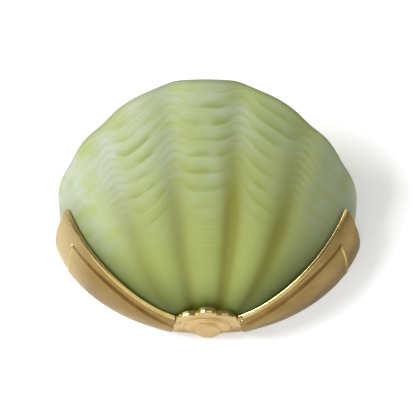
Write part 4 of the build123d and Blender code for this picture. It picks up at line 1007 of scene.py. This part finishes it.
@dataclass
class Wing:
    """Tapering brass wing with a raised panel, a groove and a polished lip against the glass."""

    shade: GlassShade
    # Outline on the wall: part of an ellipse round this height, from the inner to the outer place.
    wall_half_width: float = 158.0 * MM
    wall_half_height: float = 118.0 * MM
    wall_z: float = 20.0 * MM
    wall_inner: float = 18.0 * MM
    wall_outer: float = 151.5 * MM
    # Metal: its thickness, the bow of its section, and its gap to the glass.
    thickness: float = 2.6 * MM
    bow: float = 5.6 * MM
    gap: float = 0.6 * MM
    back_parts: tuple[float, ...] = (0.75, 0.5, 0.25, 0.06)
    # Raised panel: its ends along the wing, its edges across it, its height and its end bead.
    panel_start: float = 0.03
    panel_end: float = 0.905
    panel_edge: float = 0.03
    panel_share: float = 0.62
    panel_swell: float = 0.52
    panel_height: float = 1.3 * MM
    bead: float = 0.45 * MM
    # Groove between panel and lip, and the lip's polished bevel.
    groove_width: float = 3.4 * MM
    groove_depth: float = 1.3 * MM
    bevel: float = 2.2 * MM
    steps: int = 120
    sharp_angle: float = math.radians(34)

    def wall_point(self, x: float) -> np.ndarray:
        """Point of the outline on the wall."""
        drop = self.wall_half_height * math.sqrt(1 - (x / self.wall_half_width) ** 2)
        return np.array([x, 0.0, self.wall_z - drop])

    def lip_point(self, x: float) -> np.ndarray:
        """Find the lip, just outside the glass.

        Args:
            x: distance from the middle.

        Returns:
            Point of the lip, on the ray of the glass that passes there.
        """
        z = self.shade.lip.height(x)
        low, high = 20.0, 89.0
        for _ in range(40):
            angle = np.array((low + high) / 2)
            top = self.shade.plain(angle, np.array(1.0))[2]
            climb = np.array((z - self.shade.umbo) / (top - self.shade.umbo))
            if self.shade.plain(angle, climb)[0] < x:
                low = float(angle)
            else:
                high = float(angle)
        crown = self.shade.grown(self.shade.lobe_rise, climb)
        return self.shade.plain(angle, climb) \
            + self.shade.normal(angle, climb) * (crown + self.gap + self.thickness)

    def ends(self, share: float) -> tuple[np.ndarray, np.ndarray]:
        """Wall point and lip point at a share of the wing's length."""
        lip = self.shade.lip
        return (self.wall_point(self.wall_inner + (self.wall_outer - self.wall_inner) * share),
                self.lip_point(lip.inner + (lip.outer - lip.inner) * share))

    def station(self, share: float) -> tuple[np.ndarray, np.ndarray, np.ndarray]:
        """Place one section of the wing.

        Args:
            share: place along the wing, from 0 to 1.

        Returns:
            Wall point, lip point and outward direction.
        """
        wall, lip = self.ends(share)
        before, after = self.ends(max(share - 0.02, 0.0)), self.ends(min(share + 0.02, 1.0))
        along = after[0] + after[1] - before[0] - before[1]
        out = np.cross(along / np.linalg.norm(along), (lip - wall) / np.linalg.norm(lip - wall))
        return wall, lip, out / np.linalg.norm(out)

    def panel_steps(self) -> tuple[list[float], list[float]]:
        """Outline of the raised panel along the wing, with the bead that ends it.

        Returns:
            Places where the panel's height changes, and those heights.
        """
        start, end, high = self.panel_start, self.panel_end, self.panel_height
        steps = [(start - 0.006, 0.0), (start, high), (end - 0.024, high),
                 (end - 0.014, high + self.bead), (end - 0.004, high + self.bead),
                 (end + 0.005, 0.0), (end + 0.011, -0.5 * self.bead), (end + 0.02, 0.0)]
        return [place for place, _ in steps], [height for _, height in steps]

    def profile(self, share: float, width: float) -> list[tuple[float, float, Zone]]:
        """Outer line of one section as shares of its width and heights above its face.

        Args:
            share: place along the wing.
            width: width of the section in metres.

        Returns:
            Share, height and the finish of the face that follows, from the wall to the lip and
            round it.
        """

        def part(millimetres: float) -> float:
            """Share of the width that this length takes."""
            return millimetres * MM / width

        length = (share - self.panel_start) / (self.panel_end - self.panel_start)
        top = float(np.interp(share, *self.panel_steps()))
        # The bead that ends the panel takes the polished brass, whose lighter colour paints a
        # highlight along it.
        on_bead = self.panel_end - 0.02 < share < self.panel_end + 0.003
        panel = Zone.POLISHED if on_bead else Zone.CAST
        # The groove is fullest in the middle of the panel's length.
        size = 0.15 + 0.85 * math.sin(math.pi * length) if 0.0 <= length <= 1.0 else 0.0
        # Where the groove is deep it takes the brown painted shade.
        groove = Zone.GROOVE if size > 0.5 else Zone.CAST
        near = self.panel_share + self.panel_swell * share * (1.2 - share)
        far = near + (0.6 * MM + self.groove_width * size) / width
        edge, lip = self.panel_edge, 1 - self.bevel / width
        cast, polished = Zone.CAST, Zone.POLISHED
        return [
            # Margin at the wall, and the panel with its rounded edges and slight crown.
            (0.0, 0.0, cast), (edge, 0.0, cast), (edge + part(0.5), top * 0.7, panel),
            (edge + part(1.2), top, panel), (near * 0.35, top * 1.1, panel),
            (near * 0.7, top * 1.1, panel), (near - part(1.0), top, panel),
            # Groove along the panel, then the plain band.
            (near - part(0.3), top * 0.85, groove), (near + part(0.1), top * 0.3, groove),
            ((near + far) / 2, -self.groove_depth * size, groove),
            (far - part(0.1), -0.1 * MM * size, cast), (far + part(0.5), 0.0, cast),
            ((far + lip) / 2, 0.0, cast), (lip - part(0.5), 0.05 * MM, cast),
            # Polished lip, bevelled down to the glass; its lighter colour is partly a painted
            # highlight.
            (lip, 0.0, polished), (lip + part(0.4), -0.15 * MM, polished),
            (1 - part(0.4), -1.5 * MM, polished), (1.0, -1.85 * MM, polished),
            (1.0, -2.4 * MM, polished), (1 - part(0.2), -self.thickness, cast)]

    def build(self, finishes: Finishes, name: str, sign: int) -> None:
        """Make one wing.

        Args:
            finishes: the light's finishes.
            name: the CAD node that it stands for.
            sign: 1 for the right wing, -1 for the left one.
        """
        shares = sorted(set(np.linspace(0, 1, self.steps)) | set(self.panel_steps()[0]))
        rings, zones = [], []
        for share in shares:
            wall, lip, out = self.station(float(share))
            width = float(np.linalg.norm(lip - wall))
            chord = (lip - wall) / width

            def point(part: float, lift: float) -> np.ndarray:
                """Point of the bowed section."""
                return wall + chord * width * part + out * (4 * self.bow * part * (1 - part) + lift)

            profile = self.profile(float(share), width)
            rings.append([point(part, lift) for part, lift, _ in profile]
                         + [point(part, -self.thickness) for part in self.back_parts])
            zones.append([zone for _, _, zone in profile] + [Zone.CAST] * len(self.back_parts))
        count, last = len(rings[0]), len(rings) - 1
        vertices = np.concatenate([np.array(ring) for ring in rings])
        vertices[:, 1] = np.minimum(vertices[:, 1], 0.0)
        vertices[:, 0] *= sign
        faces = [(i * count + j, i * count + (j + 1) % count, (i + 1) * count + (j + 1) % count,
                  (i + 1) * count + j) for i in range(last) for j in range(count)]
        faces += [tuple(range(count)), tuple(last * count + j for j in reversed(range(count)))]
        wing = mesh_object(f"{name}_casting", vertices, faces, finishes.satin_brass)
        wing.data.materials.append(finishes.polished_and_highlight_brass)
        wing.data.materials.append(finishes.groove_shade_brass)
        numbers = [zone for row in zones[:-1] for zone in row] + [Zone.CAST, Zone.CAST]
        wing.data.polygons.foreach_set("material_index", numbers)
        self.trim(wing, sign)
        recalculate_normals(wing)
        wing.data.set_sharp_from_angle(angle=self.sharp_angle)
        fix(wing, "fixture", "cast_brass", name)

    def trim(self, wing: bpy.types.Object, sign: int) -> None:
        """Cut the wing's inner end off along the side of the fan.

        Args:
            wing: the wing's casting.
            sign: 1 for the right wing, -1 for the left one.
        """
        sheet = bmesh.new()
        sheet.from_mesh(wing.data)
        outer, inner = (Vector((sign * x, y, 0.0)) for x, y in (WING_END_OUTER, WING_END_INNER))
        along = (inner - outer).normalized()
        normal = along.cross(Vector((0, 0, 1))) * sign
        if normal.x * sign > 0:
            normal.negate()
        cut = bmesh.ops.bisect_plane(sheet, geom=[*sheet.verts, *sheet.edges, *sheet.faces],
                                     plane_co=outer, plane_no=normal, clear_outer=True, dist=1e-7)
        edges = [item for item in cut["geom_cut"] if isinstance(item, bmesh.types.BMEdge)]
        bmesh.ops.holes_fill(sheet, edges=edges)
        sheet.to_mesh(wing.data)
        sheet.free()


@dataclass
class CentreMotif:
    """Stepped fan at the bottom centre: soft tiers and a scalloped, polished crest. Its sizes are
    given on its sloping face: across, along from the wall, and height above the face.
    """

    slope: float = math.radians(22.0)
    wall_z: float = -98.5 * MM
    half_width: float = 36.5 * MM
    plate: float = 2.8 * MM
    joint: float = 0.2 * MM
    # The base starts upright on the wall, and its corners are lifted a little.
    base_blend: float = 6.0 * MM
    corner_lift: float = 2.3 * MM
    corner_reach: float = 18.0 * MM
    # Each tier: how far its middle is from the wall, its half width and its half length, in mm.
    tiers: tuple[tuple[float, float, float], ...] = ((22.0, 24.2, 22.8), (17.5, 14.2, 18.2))
    step: float = 2.2 * MM
    soft: float = 1.5 * MM
    # Edge of the right half, in mm: ends and middles of its arcs in turn. Then the top's middle.
    right_edge: tuple[tuple[float, float], ...] = (
        (36.5, 18.0), (34.9, 29.0), (31.0, 38.6), (21.0, 52.1), (10.5, 53.2))
    top_edge: tuple[float, float] = (0.0, 62.0)
    # Crest: its thickness, how much thinner its corners are, and where along the fan it begins.
    crest: float = 6.8 * MM
    crest_thin: float = 1.8 * MM
    crest_corner: float = 31.0 * MM
    crest_start: float = 22.0 * MM
    crest_run: float = 10.0 * MM
    # Its lumps, left by hand polishing: height in mm, count and shift of each wave round the fan.
    lumps: tuple[tuple[float, float, float], ...] = (
        (0.32, 11.0, 1.0), (0.25, 17.0, 0.4), (0.18, 29.0, 0.0))
    # Its rings: inset in mm, share of its thickness and share of the lumps.
    crest_rings: tuple[tuple[float, float, float], ...] = (
        (0.35, 0.06, 0.3), (0.05, 0.18, 0.8), (0.0, 0.45, 1.0), (0.1, 0.72, -0.9),
        (0.35, 0.9, -0.4), (1.0, 1.0, 0.0))
    face_inset: float = 1.0 * MM
    under_inset: float = 5.0 * MM
    # Mesh: points round the edge, rings over the face and the place that they run out of.
    points: int = 420
    rings: int = 44
    middle: tuple[float, float] = (0.0, 21.0 * MM)
    sharp_angle: float = math.radians(50)
    # Pins: place across, place along and radius in mm. Rings: share of the radius, height in mm.
    pins_at: tuple[tuple[float, float, float], ...] = ((-30.8, 30.6, 0.75), (-26.8, 32.6, 1.0))
    pin_top: float = 0.45 * MM
    pin_rings: tuple[tuple[float, float], ...] = ((0.55, 0.38), (1.0, 0.1), (1.0, -0.8))
    pin_sides: int = 20

    def outline(self) -> np.ndarray:
        """Work out the fan's edge.

        Returns:
            Evenly spaced points, from its right base round to its left one and back along the wall.
        """
        right = [np.array(place) for place in self.right_edge]
        places = [*right, np.array(self.top_edge), *(place * (-1, 1) for place in reversed(right))]
        base = right[0][0]
        line = [np.array([base, 0.0])]
        for i in range(0, len(places) - 2, 2):
            line += list(self.arc(*places[i:i + 3]))
        line += [np.array([-base, 0.0]), np.array([0.0, 0.0]), np.array([base, 0.0])]
        line = np.array(line) * MM
        length = np.concatenate([[0], np.cumsum(np.linalg.norm(np.diff(line, axis=0), axis=1))])
        even = np.linspace(0, length[-1], self.points, endpoint=False)
        edge = np.stack([np.interp(even, length, line[:, i]) for i in (0, 1)], axis=-1)
        # The sides run straight along the wings' ends.
        (outer_x, outer_y), (inner_x, inner_y) = WING_END_OUTER, WING_END_INNER
        side = outer_x - (edge[:, 1] * math.cos(self.slope) + outer_y) \
            * (outer_x - inner_x) / (outer_y - inner_y) - self.joint
        edge[:, 0] = np.clip(edge[:, 0], -side, side)
        return edge

    @staticmethod
    def arc(first: np.ndarray, middle: np.ndarray, last: np.ndarray) -> np.ndarray:
        """Draw the arc through three points.

        Args:
            first: where the arc starts.
            middle: any point on it.
            last: where it ends.

        Returns:
            Points of the arc in order.
        """
        a, b = middle - first, last - first
        turn = 2 * (a[0] * b[1] - a[1] * b[0])
        centre = first + np.array([b[1] * a.dot(a) - a[1] * b.dot(b),
                                   a[0] * b.dot(b) - b[0] * a.dot(a)]) / turn
        start, half, end = (math.atan2(*(point - centre)[::-1]) for point in (first, middle, last))
        # Whole turns are added until the arc runs one way through its middle.
        while abs(half - start) > math.pi:
            half += 2 * math.pi * (1 if half < start else -1)
        while (end - start) * (half - start) < 0:
            end += 2 * math.pi * (1 if end < start else -1)
        ways = np.linspace(start, end, 40)
        radius = np.linalg.norm(first - centre)
        return centre + radius * np.stack([np.cos(ways), np.sin(ways)], axis=-1)

    def place(self, flat: np.ndarray, height: np.ndarray) -> np.ndarray:
        """Turn places on the fan's face into points of the light. The base stays on the wall.

        Args:
            flat: places across and along the face.
            height: heights above the face.

        Returns:
            Points, with x, y and z on the last axis.
        """
        cos, sin = math.cos(self.slope), math.sin(self.slope)
        along = flat[:, 1] - height * math.tan(self.slope) \
            * (1 - ramp(flat[:, 1], 0, self.base_blend))
        lift = self.corner_lift * (flat[:, 0] / self.half_width) ** 2 \
            * (1 - ramp(flat[:, 1], 0, self.corner_reach))
        return np.stack([flat[:, 0], -along * cos - height * sin,
                         self.wall_z + along * sin - height * cos + lift], axis=-1)

    def height(self, flat: np.ndarray) -> np.ndarray:
        """Height of the tiers over the fan's face.

        Args:
            flat: places across and along the face.

        Returns:
            Height at each place: one step for each tier that it lies on, with soft edges.
        """
        total = np.zeros(len(flat))
        for centre, across, along in self.tiers:
            off = np.hypot(flat[:, 0] / across, (flat[:, 1] - centre * MM) / along) / MM
            way = np.clip((1 - off) * across * MM / self.soft, 0, 1)
            total += self.step * way * way * (3 - 2 * way)
        return total

    def sections(self, edge: np.ndarray,
                 front: np.ndarray) -> list[tuple[np.ndarray, np.ndarray, Zone]]:
        """Lay the rings over the face, round the crest and back under it.

        Args:
            edge: points of the fan's edge.
            front: 1 where the edge has its crest, 0 at the sides and the wall.

        Returns:
            Places, heights and finish of each ring.
        """
        middle = np.array(self.middle)
        way = edge - middle
        out = way / np.linalg.norm(way, axis=1, keepdims=True)
        turn = np.arctan2(way[:, 0], way[:, 1])
        lumps = sum(high * np.sin(waves * turn + shift)
                    for high, waves, shift in self.lumps) * MM * front
        thick = self.plate + (self.crest - self.crest_thin * (edge[:, 0] / self.crest_corner) ** 2
                              - self.plate) * front
        rings = []
        for j in range(1, self.rings + 1):
            flat = middle + (edge - out * self.face_inset - middle) * (j / self.rings) ** 0.9
            rings.append((flat, self.height(flat), Zone.CAST))
        for inset, drop, lump in self.crest_rings:
            flat = edge - out * (inset * MM + 0.5 * np.abs(lumps))[:, None]
            rings.append((flat, -thick * drop + 0.5 * lump * lumps, Zone.POLISHED))
        inner = edge - out * self.under_inset
        plate = np.full(len(edge), -self.plate)
        return rings + [(inner, -thick, Zone.CAST), (inner, plate, Zone.CAST)]

    def build(self, finishes: Finishes) -> None:
        """Make the fan with its crest, and its two pins.

        Args:
            finishes: the light's finishes.
        """
        edge, middle = self.outline(), np.array([self.middle])
        front = ramp(edge[:, 1], self.crest_start, self.crest_run)
        rings = self.sections(edge, front)
        vertices = [self.place(middle, self.height(middle))]
        vertices += [self.place(flat, height) for flat, height, _ in rings]
        vertices.append(self.place(middle, np.array([-self.plate])))
        count, last = self.points, 1 + len(rings) * self.points
        faces = [(0, 1 + i, 1 + (i + 1) % count) for i in range(count)]
        zones = [Zone.CAST] * count
        for j in range(len(rings) - 1):
            here, there = 1 + j * count, 1 + (j + 1) * count
            faces += [(here + i, there + i, there + (i + 1) % count, here + (i + 1) % count)
                      for i in range(count)]
            zones += [rings[j + 1][2] if front[i] > 0.05 else Zone.CAST for i in range(count)]
        faces += [(last, last - count + (i + 1) % count, last - count + i) for i in range(count)]
        zones += [Zone.CAST] * count
        fan = mesh_object("centre_motif_casting", np.concatenate(vertices), faces,
                          finishes.motif_brass)
        fan.data.materials.append(finishes.polished_and_highlight_brass)
        fan.data.polygons.foreach_set("material_index", zones)
        recalculate_normals(fan)
        fan.data.set_sharp_from_angle(angle=self.sharp_angle)
        fix(fan, "fixture", "cast_brass", "centre_motif")
        self.pins(finishes)

    def pins(self, finishes: Finishes) -> None:
        """Make the two small pin heads on the left side of the fan.

        Args:
            finishes: the light's finishes.
        """
        vertices, faces, sides = [], [], self.pin_sides
        turns = np.linspace(0, 2 * math.pi, sides, endpoint=False)
        for across, along, size in self.pins_at:
            base, flat = len(vertices), np.array([[across * MM, along * MM]])
            vertices += list(self.place(flat, np.array([self.pin_top])))
            for share, lift in self.pin_rings:
                ring = flat + size * MM * share * np.stack([np.cos(turns), np.sin(turns)], axis=-1)
                vertices += list(self.place(ring, np.full(sides, lift * MM)))
            faces += [(base, base + 1 + i, base + 1 + (i + 1) % sides) for i in range(sides)]
            for j in range(len(self.pin_rings) - 1):
                low, under = base + 1 + sides * j, base + 1 + sides * (j + 1)
                faces += [(low + i, under + i, under + (i + 1) % sides, low + (i + 1) % sides)
                          for i in range(sides)]
            faces.append([len(vertices) - sides + i for i in reversed(range(sides))])
        pins = mesh_object("motif_pins", vertices, faces, finishes.pin_brass)
        recalculate_normals(pins)
        fix(pins, "fixture", "cast_brass")


@dataclass
class LipScroll:
    """Small curl in which the right wing's lip ends beside the fan. Each pair is the value at its
    outer end and how much it changes by the inner one.
    """

    centre: tuple[float, float] = (32.6 * MM, -83.2 * MM)
    turn_degrees: tuple[float, float] = (160.0, -430.0)
    reach_mm: tuple[float, float] = (2.9, -1.8)
    thick_mm: tuple[float, float] = (0.85, -0.25)
    depth_mm: tuple[float, float] = (37.7, 1.4)
    steps: int = 60
    sides: int = 12

    def build(self, finishes: Finishes) -> None:
        """Make the curl as a round wire that thins towards both ends.

        Args:
            finishes: the light's finishes.
        """
        steps, sides = self.steps, self.sides
        centre = np.array([self.centre[0], 0.0, self.centre[1]])
        vertices = []
        for i in range(steps + 1):
            share = i / steps
            turn, reach, thick, depth = (
                start + change * share for start, change in
                (self.turn_degrees, self.reach_mm, self.thick_mm, self.depth_mm))
            across = np.array([math.cos(math.radians(turn)), 0.0, math.sin(math.radians(turn))])
            spine = centre + across * (reach * MM) - np.array([0.0, depth * MM, 0.0])
            radius = thick * MM * min(1.0, 0.4 + 6 * min(share, 1 - share))
            for j in range(sides):
                way = 2 * math.pi * j / sides
                vertices.append(spine + radius * (math.cos(way) * across
                                                  + math.sin(way) * np.array([0.0, -1.0, 0.0])))
        faces = []
        for i in range(steps):
            for j in range(sides):
                here, there = i * sides + j, i * sides + (j + 1) % sides
                faces.append((here, there, there + sides, here + sides))
        faces += [tuple(range(sides)), tuple(steps * sides + j for j in reversed(range(sides)))]
        curl = mesh_object("lip_scroll", vertices, faces, finishes.polished_and_highlight_brass)
        recalculate_normals(curl)
        fix(curl, "fixture", "cast_brass")


# ---- carried-over nodes ------------------------------------------------------------------
class HiddenWorks:
    """The frame, wall plate, lamp and wiring behind the shade, with their finishes."""

    def __init__(self, finishes: Finishes) -> None:
        """Pair every carried-over node with its finish.

        Args:
            finishes: the light's finishes.
        """
        self.dress = {
            finishes.plated_steel: ["back_frame", "wall_plate", "motif_strap", "motif_screws",
                                    "wing_screws", "wall_plate_studs", "bracket_screws", "lamp_arm",
                                    "earth_screw", "clip_screws", "right_shade_clip",
                                    "left_shade_clip"],
            finishes.turned_brass: ["right_thumb_nut", "left_thumb_nut", "nipple", "nipple_nut",
                                    "nipple_washer", "terminal_sleeves"],
            finishes.contact_metal: ["lampholder_screw_shell", "lampholder_centre_contact",
                                     "bulb_cap", "bulb_contact", "earth_tag", "earth_barrel",
                                     "terminal_screws", "terminal_block_screws"],
            finishes.phenolic: ["lampholder_cap", "lampholder_body", "bulb_insulator"],
            finishes.black_rubber: ["foot_pad", "cable_grommet"],
            finishes.block_plastic: ["terminal_block"],
            finishes.brown_lead: ["live_lead"],
            finishes.blue_lead: ["neutral_lead"],
            finishes.earth_lead: ["earth_lead"],
            finishes.bulb_glass: ["bulb_glass"],
            finishes.stem_glass: ["bulb_stem"],
            finishes.tungsten: ["bulb_filament"],
        }

    def build(self) -> None:
        """Put each finish into its nodes' material slots."""
        for material, names in self.dress.items():
            for name in names:
                node = NODES[name]
                if not node.material_slots:
                    node.data.materials.append(material)
                for held in node.material_slots:
                    held.material = material
                LOG.info("%s: %s", name, material.name)


# ---- stage -------------------------------------------------------------------------------
@dataclass(frozen=True)
class Lamp:
    """Square soft light that faces the object.

    Attributes:
        name: the light's name.
        place: its centre.
        size: its side.
        power: its power in watts.
        aim: the place that it faces.
    """

    name: str
    place: tuple[float, float, float]
    size: float
    power: float
    aim: tuple[float, float, float] = (0.0, -0.04, 0.02)

    def build(self) -> None:
        """Hang the light."""
        data = bpy.data.lights.new(self.name, "AREA")
        data.shape, data.size, data.energy = "SQUARE", self.size, self.power
        lamp = bpy.data.objects.new(self.name, data)
        lamp.location = self.place
        way = Vector(self.aim) - Vector(self.place)
        lamp.rotation_euler = way.to_track_quat("-Z", "Y").to_euler()
        bpy.context.scene.collection.objects.link(lamp)


@dataclass
class Studio:
    """White wall, pale floor, soft light from the upper left, and the camera."""

    size: float = 6.0
    wall_y: float = 1.2 * MM
    floor_z: float = -1.2
    # Glow that the camera sees on the wall and floor, and light of the surroundings.
    glow: float = 0.30
    surroundings: float = 0.18
    # The key casts the shadow at the right, the fill softens it, and the back shows the works.
    lamps: tuple[Lamp, ...] = (Lamp("key", (-3.20, -3.10, 1.50), 1.6, 198.0),
                               Lamp("fill", (1.5, -2.5, 0.9), 1.6, 9.0),
                               Lamp("back", (1.2, 2.6, 0.9), 1.8, 40.0))
    # Camera: a long lens, level with the light and a little to its right.
    aim: tuple[float, float, float] = (0.0002, 0.0, 0.027)
    distance: float = 2.311
    side: float = 0.052
    lens: float = 200.0
    sensor: float = 36.0
    clip_end: float = 50.0

    def paint(self, name: str, code: str) -> bpy.types.Material:
        """Matt paint that is seen from its front only, so that it never hides the light's back.

        Args:
            name: the paint's name.
            code: its hex colour.

        Returns:
            The material.
        """
        material, tree, shader = new_material(name)
        shader.inputs["Base Color"].default_value = linear(code)
        shader.inputs["Roughness"].default_value = 0.9
        shader.inputs["Specular IOR Level"].default_value = 0.1
        rays = add_node(tree, "ShaderNodeLightPath")
        glow = add_node(tree, "ShaderNodeMath", {"operation": "MULTIPLY", 1: self.glow},
                        {0: rays.outputs["Is Camera Ray"]})
        shader.inputs["Emission Color"].default_value = grey(1.0)
        tree.links.new(glow.outputs[0], shader.inputs["Emission Strength"])
        clear = add_node(tree, "ShaderNodeBsdfTransparent")
        back = add_node(tree, "ShaderNodeNewGeometry")
        # Light from behind the wall reaches the light's back, so that its works can be seen there.
        through = add_node(tree, "ShaderNodeMath", {"operation": "MAXIMUM"},
                           {0: back.outputs["Backfacing"], 1: rays.outputs["Is Shadow Ray"]})
        mix = add_node(tree, "ShaderNodeMixShader", None,
                       {0: through.outputs[0], 1: shader.outputs[0], 2: clear.outputs[0]})
        tree.links.new(mix.outputs[0], tree.nodes["Material Output"].inputs["Surface"])
        return material

    def build(self) -> None:
        """Make the wall, floor, lights, surroundings and camera."""
        half, floor, wall_y = self.size / 2, self.floor_z, self.wall_y
        wall = mesh_object("backdrop_wall", [(-half, wall_y, floor), (half, wall_y, floor),
                                             (half, wall_y, half), (-half, wall_y, half)],
                           [(0, 1, 2, 3)], self.paint("white_wall_paint", "#F7F7F7"), False)
        ground = mesh_object("floor", [(-half, -half, floor), (half, -half, floor),
                                       (half, wall_y, floor), (-half, wall_y, floor)],
                             [(0, 1, 2, 3)], self.paint("pale_floor_paint", "#F0F0EE"), False)
        for lamp in self.lamps:
            lamp.build()
        self.world()
        self.camera()

    def world(self) -> None:
        """Even pale surroundings: white to the camera and through glass, softer as light."""
        world = bpy.data.worlds.new("studio")
        world.use_nodes = True
        tree = world.node_tree
        tree.nodes.clear()
        rays = add_node(tree, "ShaderNodeLightPath")
        seen = add_node(tree, "ShaderNodeMath", {"operation": "ADD", "use_clamp": True},
                        {0: rays.outputs["Is Camera Ray"], 1: rays.outputs["Is Transmission Ray"]})
        level = add_node(tree, "ShaderNodeMapRange", {"To Min": self.surroundings, "To Max": 1.0},
                         {"Value": seen.outputs[0]})
        sky = add_node(tree, "ShaderNodeBackground", {"Color": grey(1.0)},
                       {"Strength": level.outputs[0]})
        add_node(tree, "ShaderNodeOutputWorld", None, {"Surface": sky.outputs[0]})
        bpy.context.scene.world = world

    def camera(self) -> None:
        """Set the camera up and show colours as they are written."""
        data = bpy.data.cameras.new("camera")
        data.lens, data.sensor_width, data.clip_end = self.lens, self.sensor, self.clip_end
        camera = bpy.data.objects.new("camera", data)
        camera.location = (self.side, -self.distance, self.aim[2])
        way = Vector(self.aim) - camera.location
        camera.rotation_euler = way.to_track_quat("-Z", "Y").to_euler()
        bpy.context.scene.collection.objects.link(camera)
        bpy.context.scene.camera = camera
        bpy.context.scene.view_settings.view_transform = "Standard"


def main() -> None:
    """Build the studio and the light's pieces in order."""
    logging.basicConfig(level=logging.INFO, format="%(name)s: %(message)s")
    Studio().build()
    finishes = Finishes()
    shade = GlassShade()
    shade.build(finishes)
    wing = Wing(shade)
    wing.build(finishes, "right_wing", 1)
    wing.build(finishes, "left_wing", -1)
    CentreMotif().build(finishes)
    LipScroll().build(finishes)
    HiddenWorks(finishes).build()


if __name__ == "__main__":
    main()
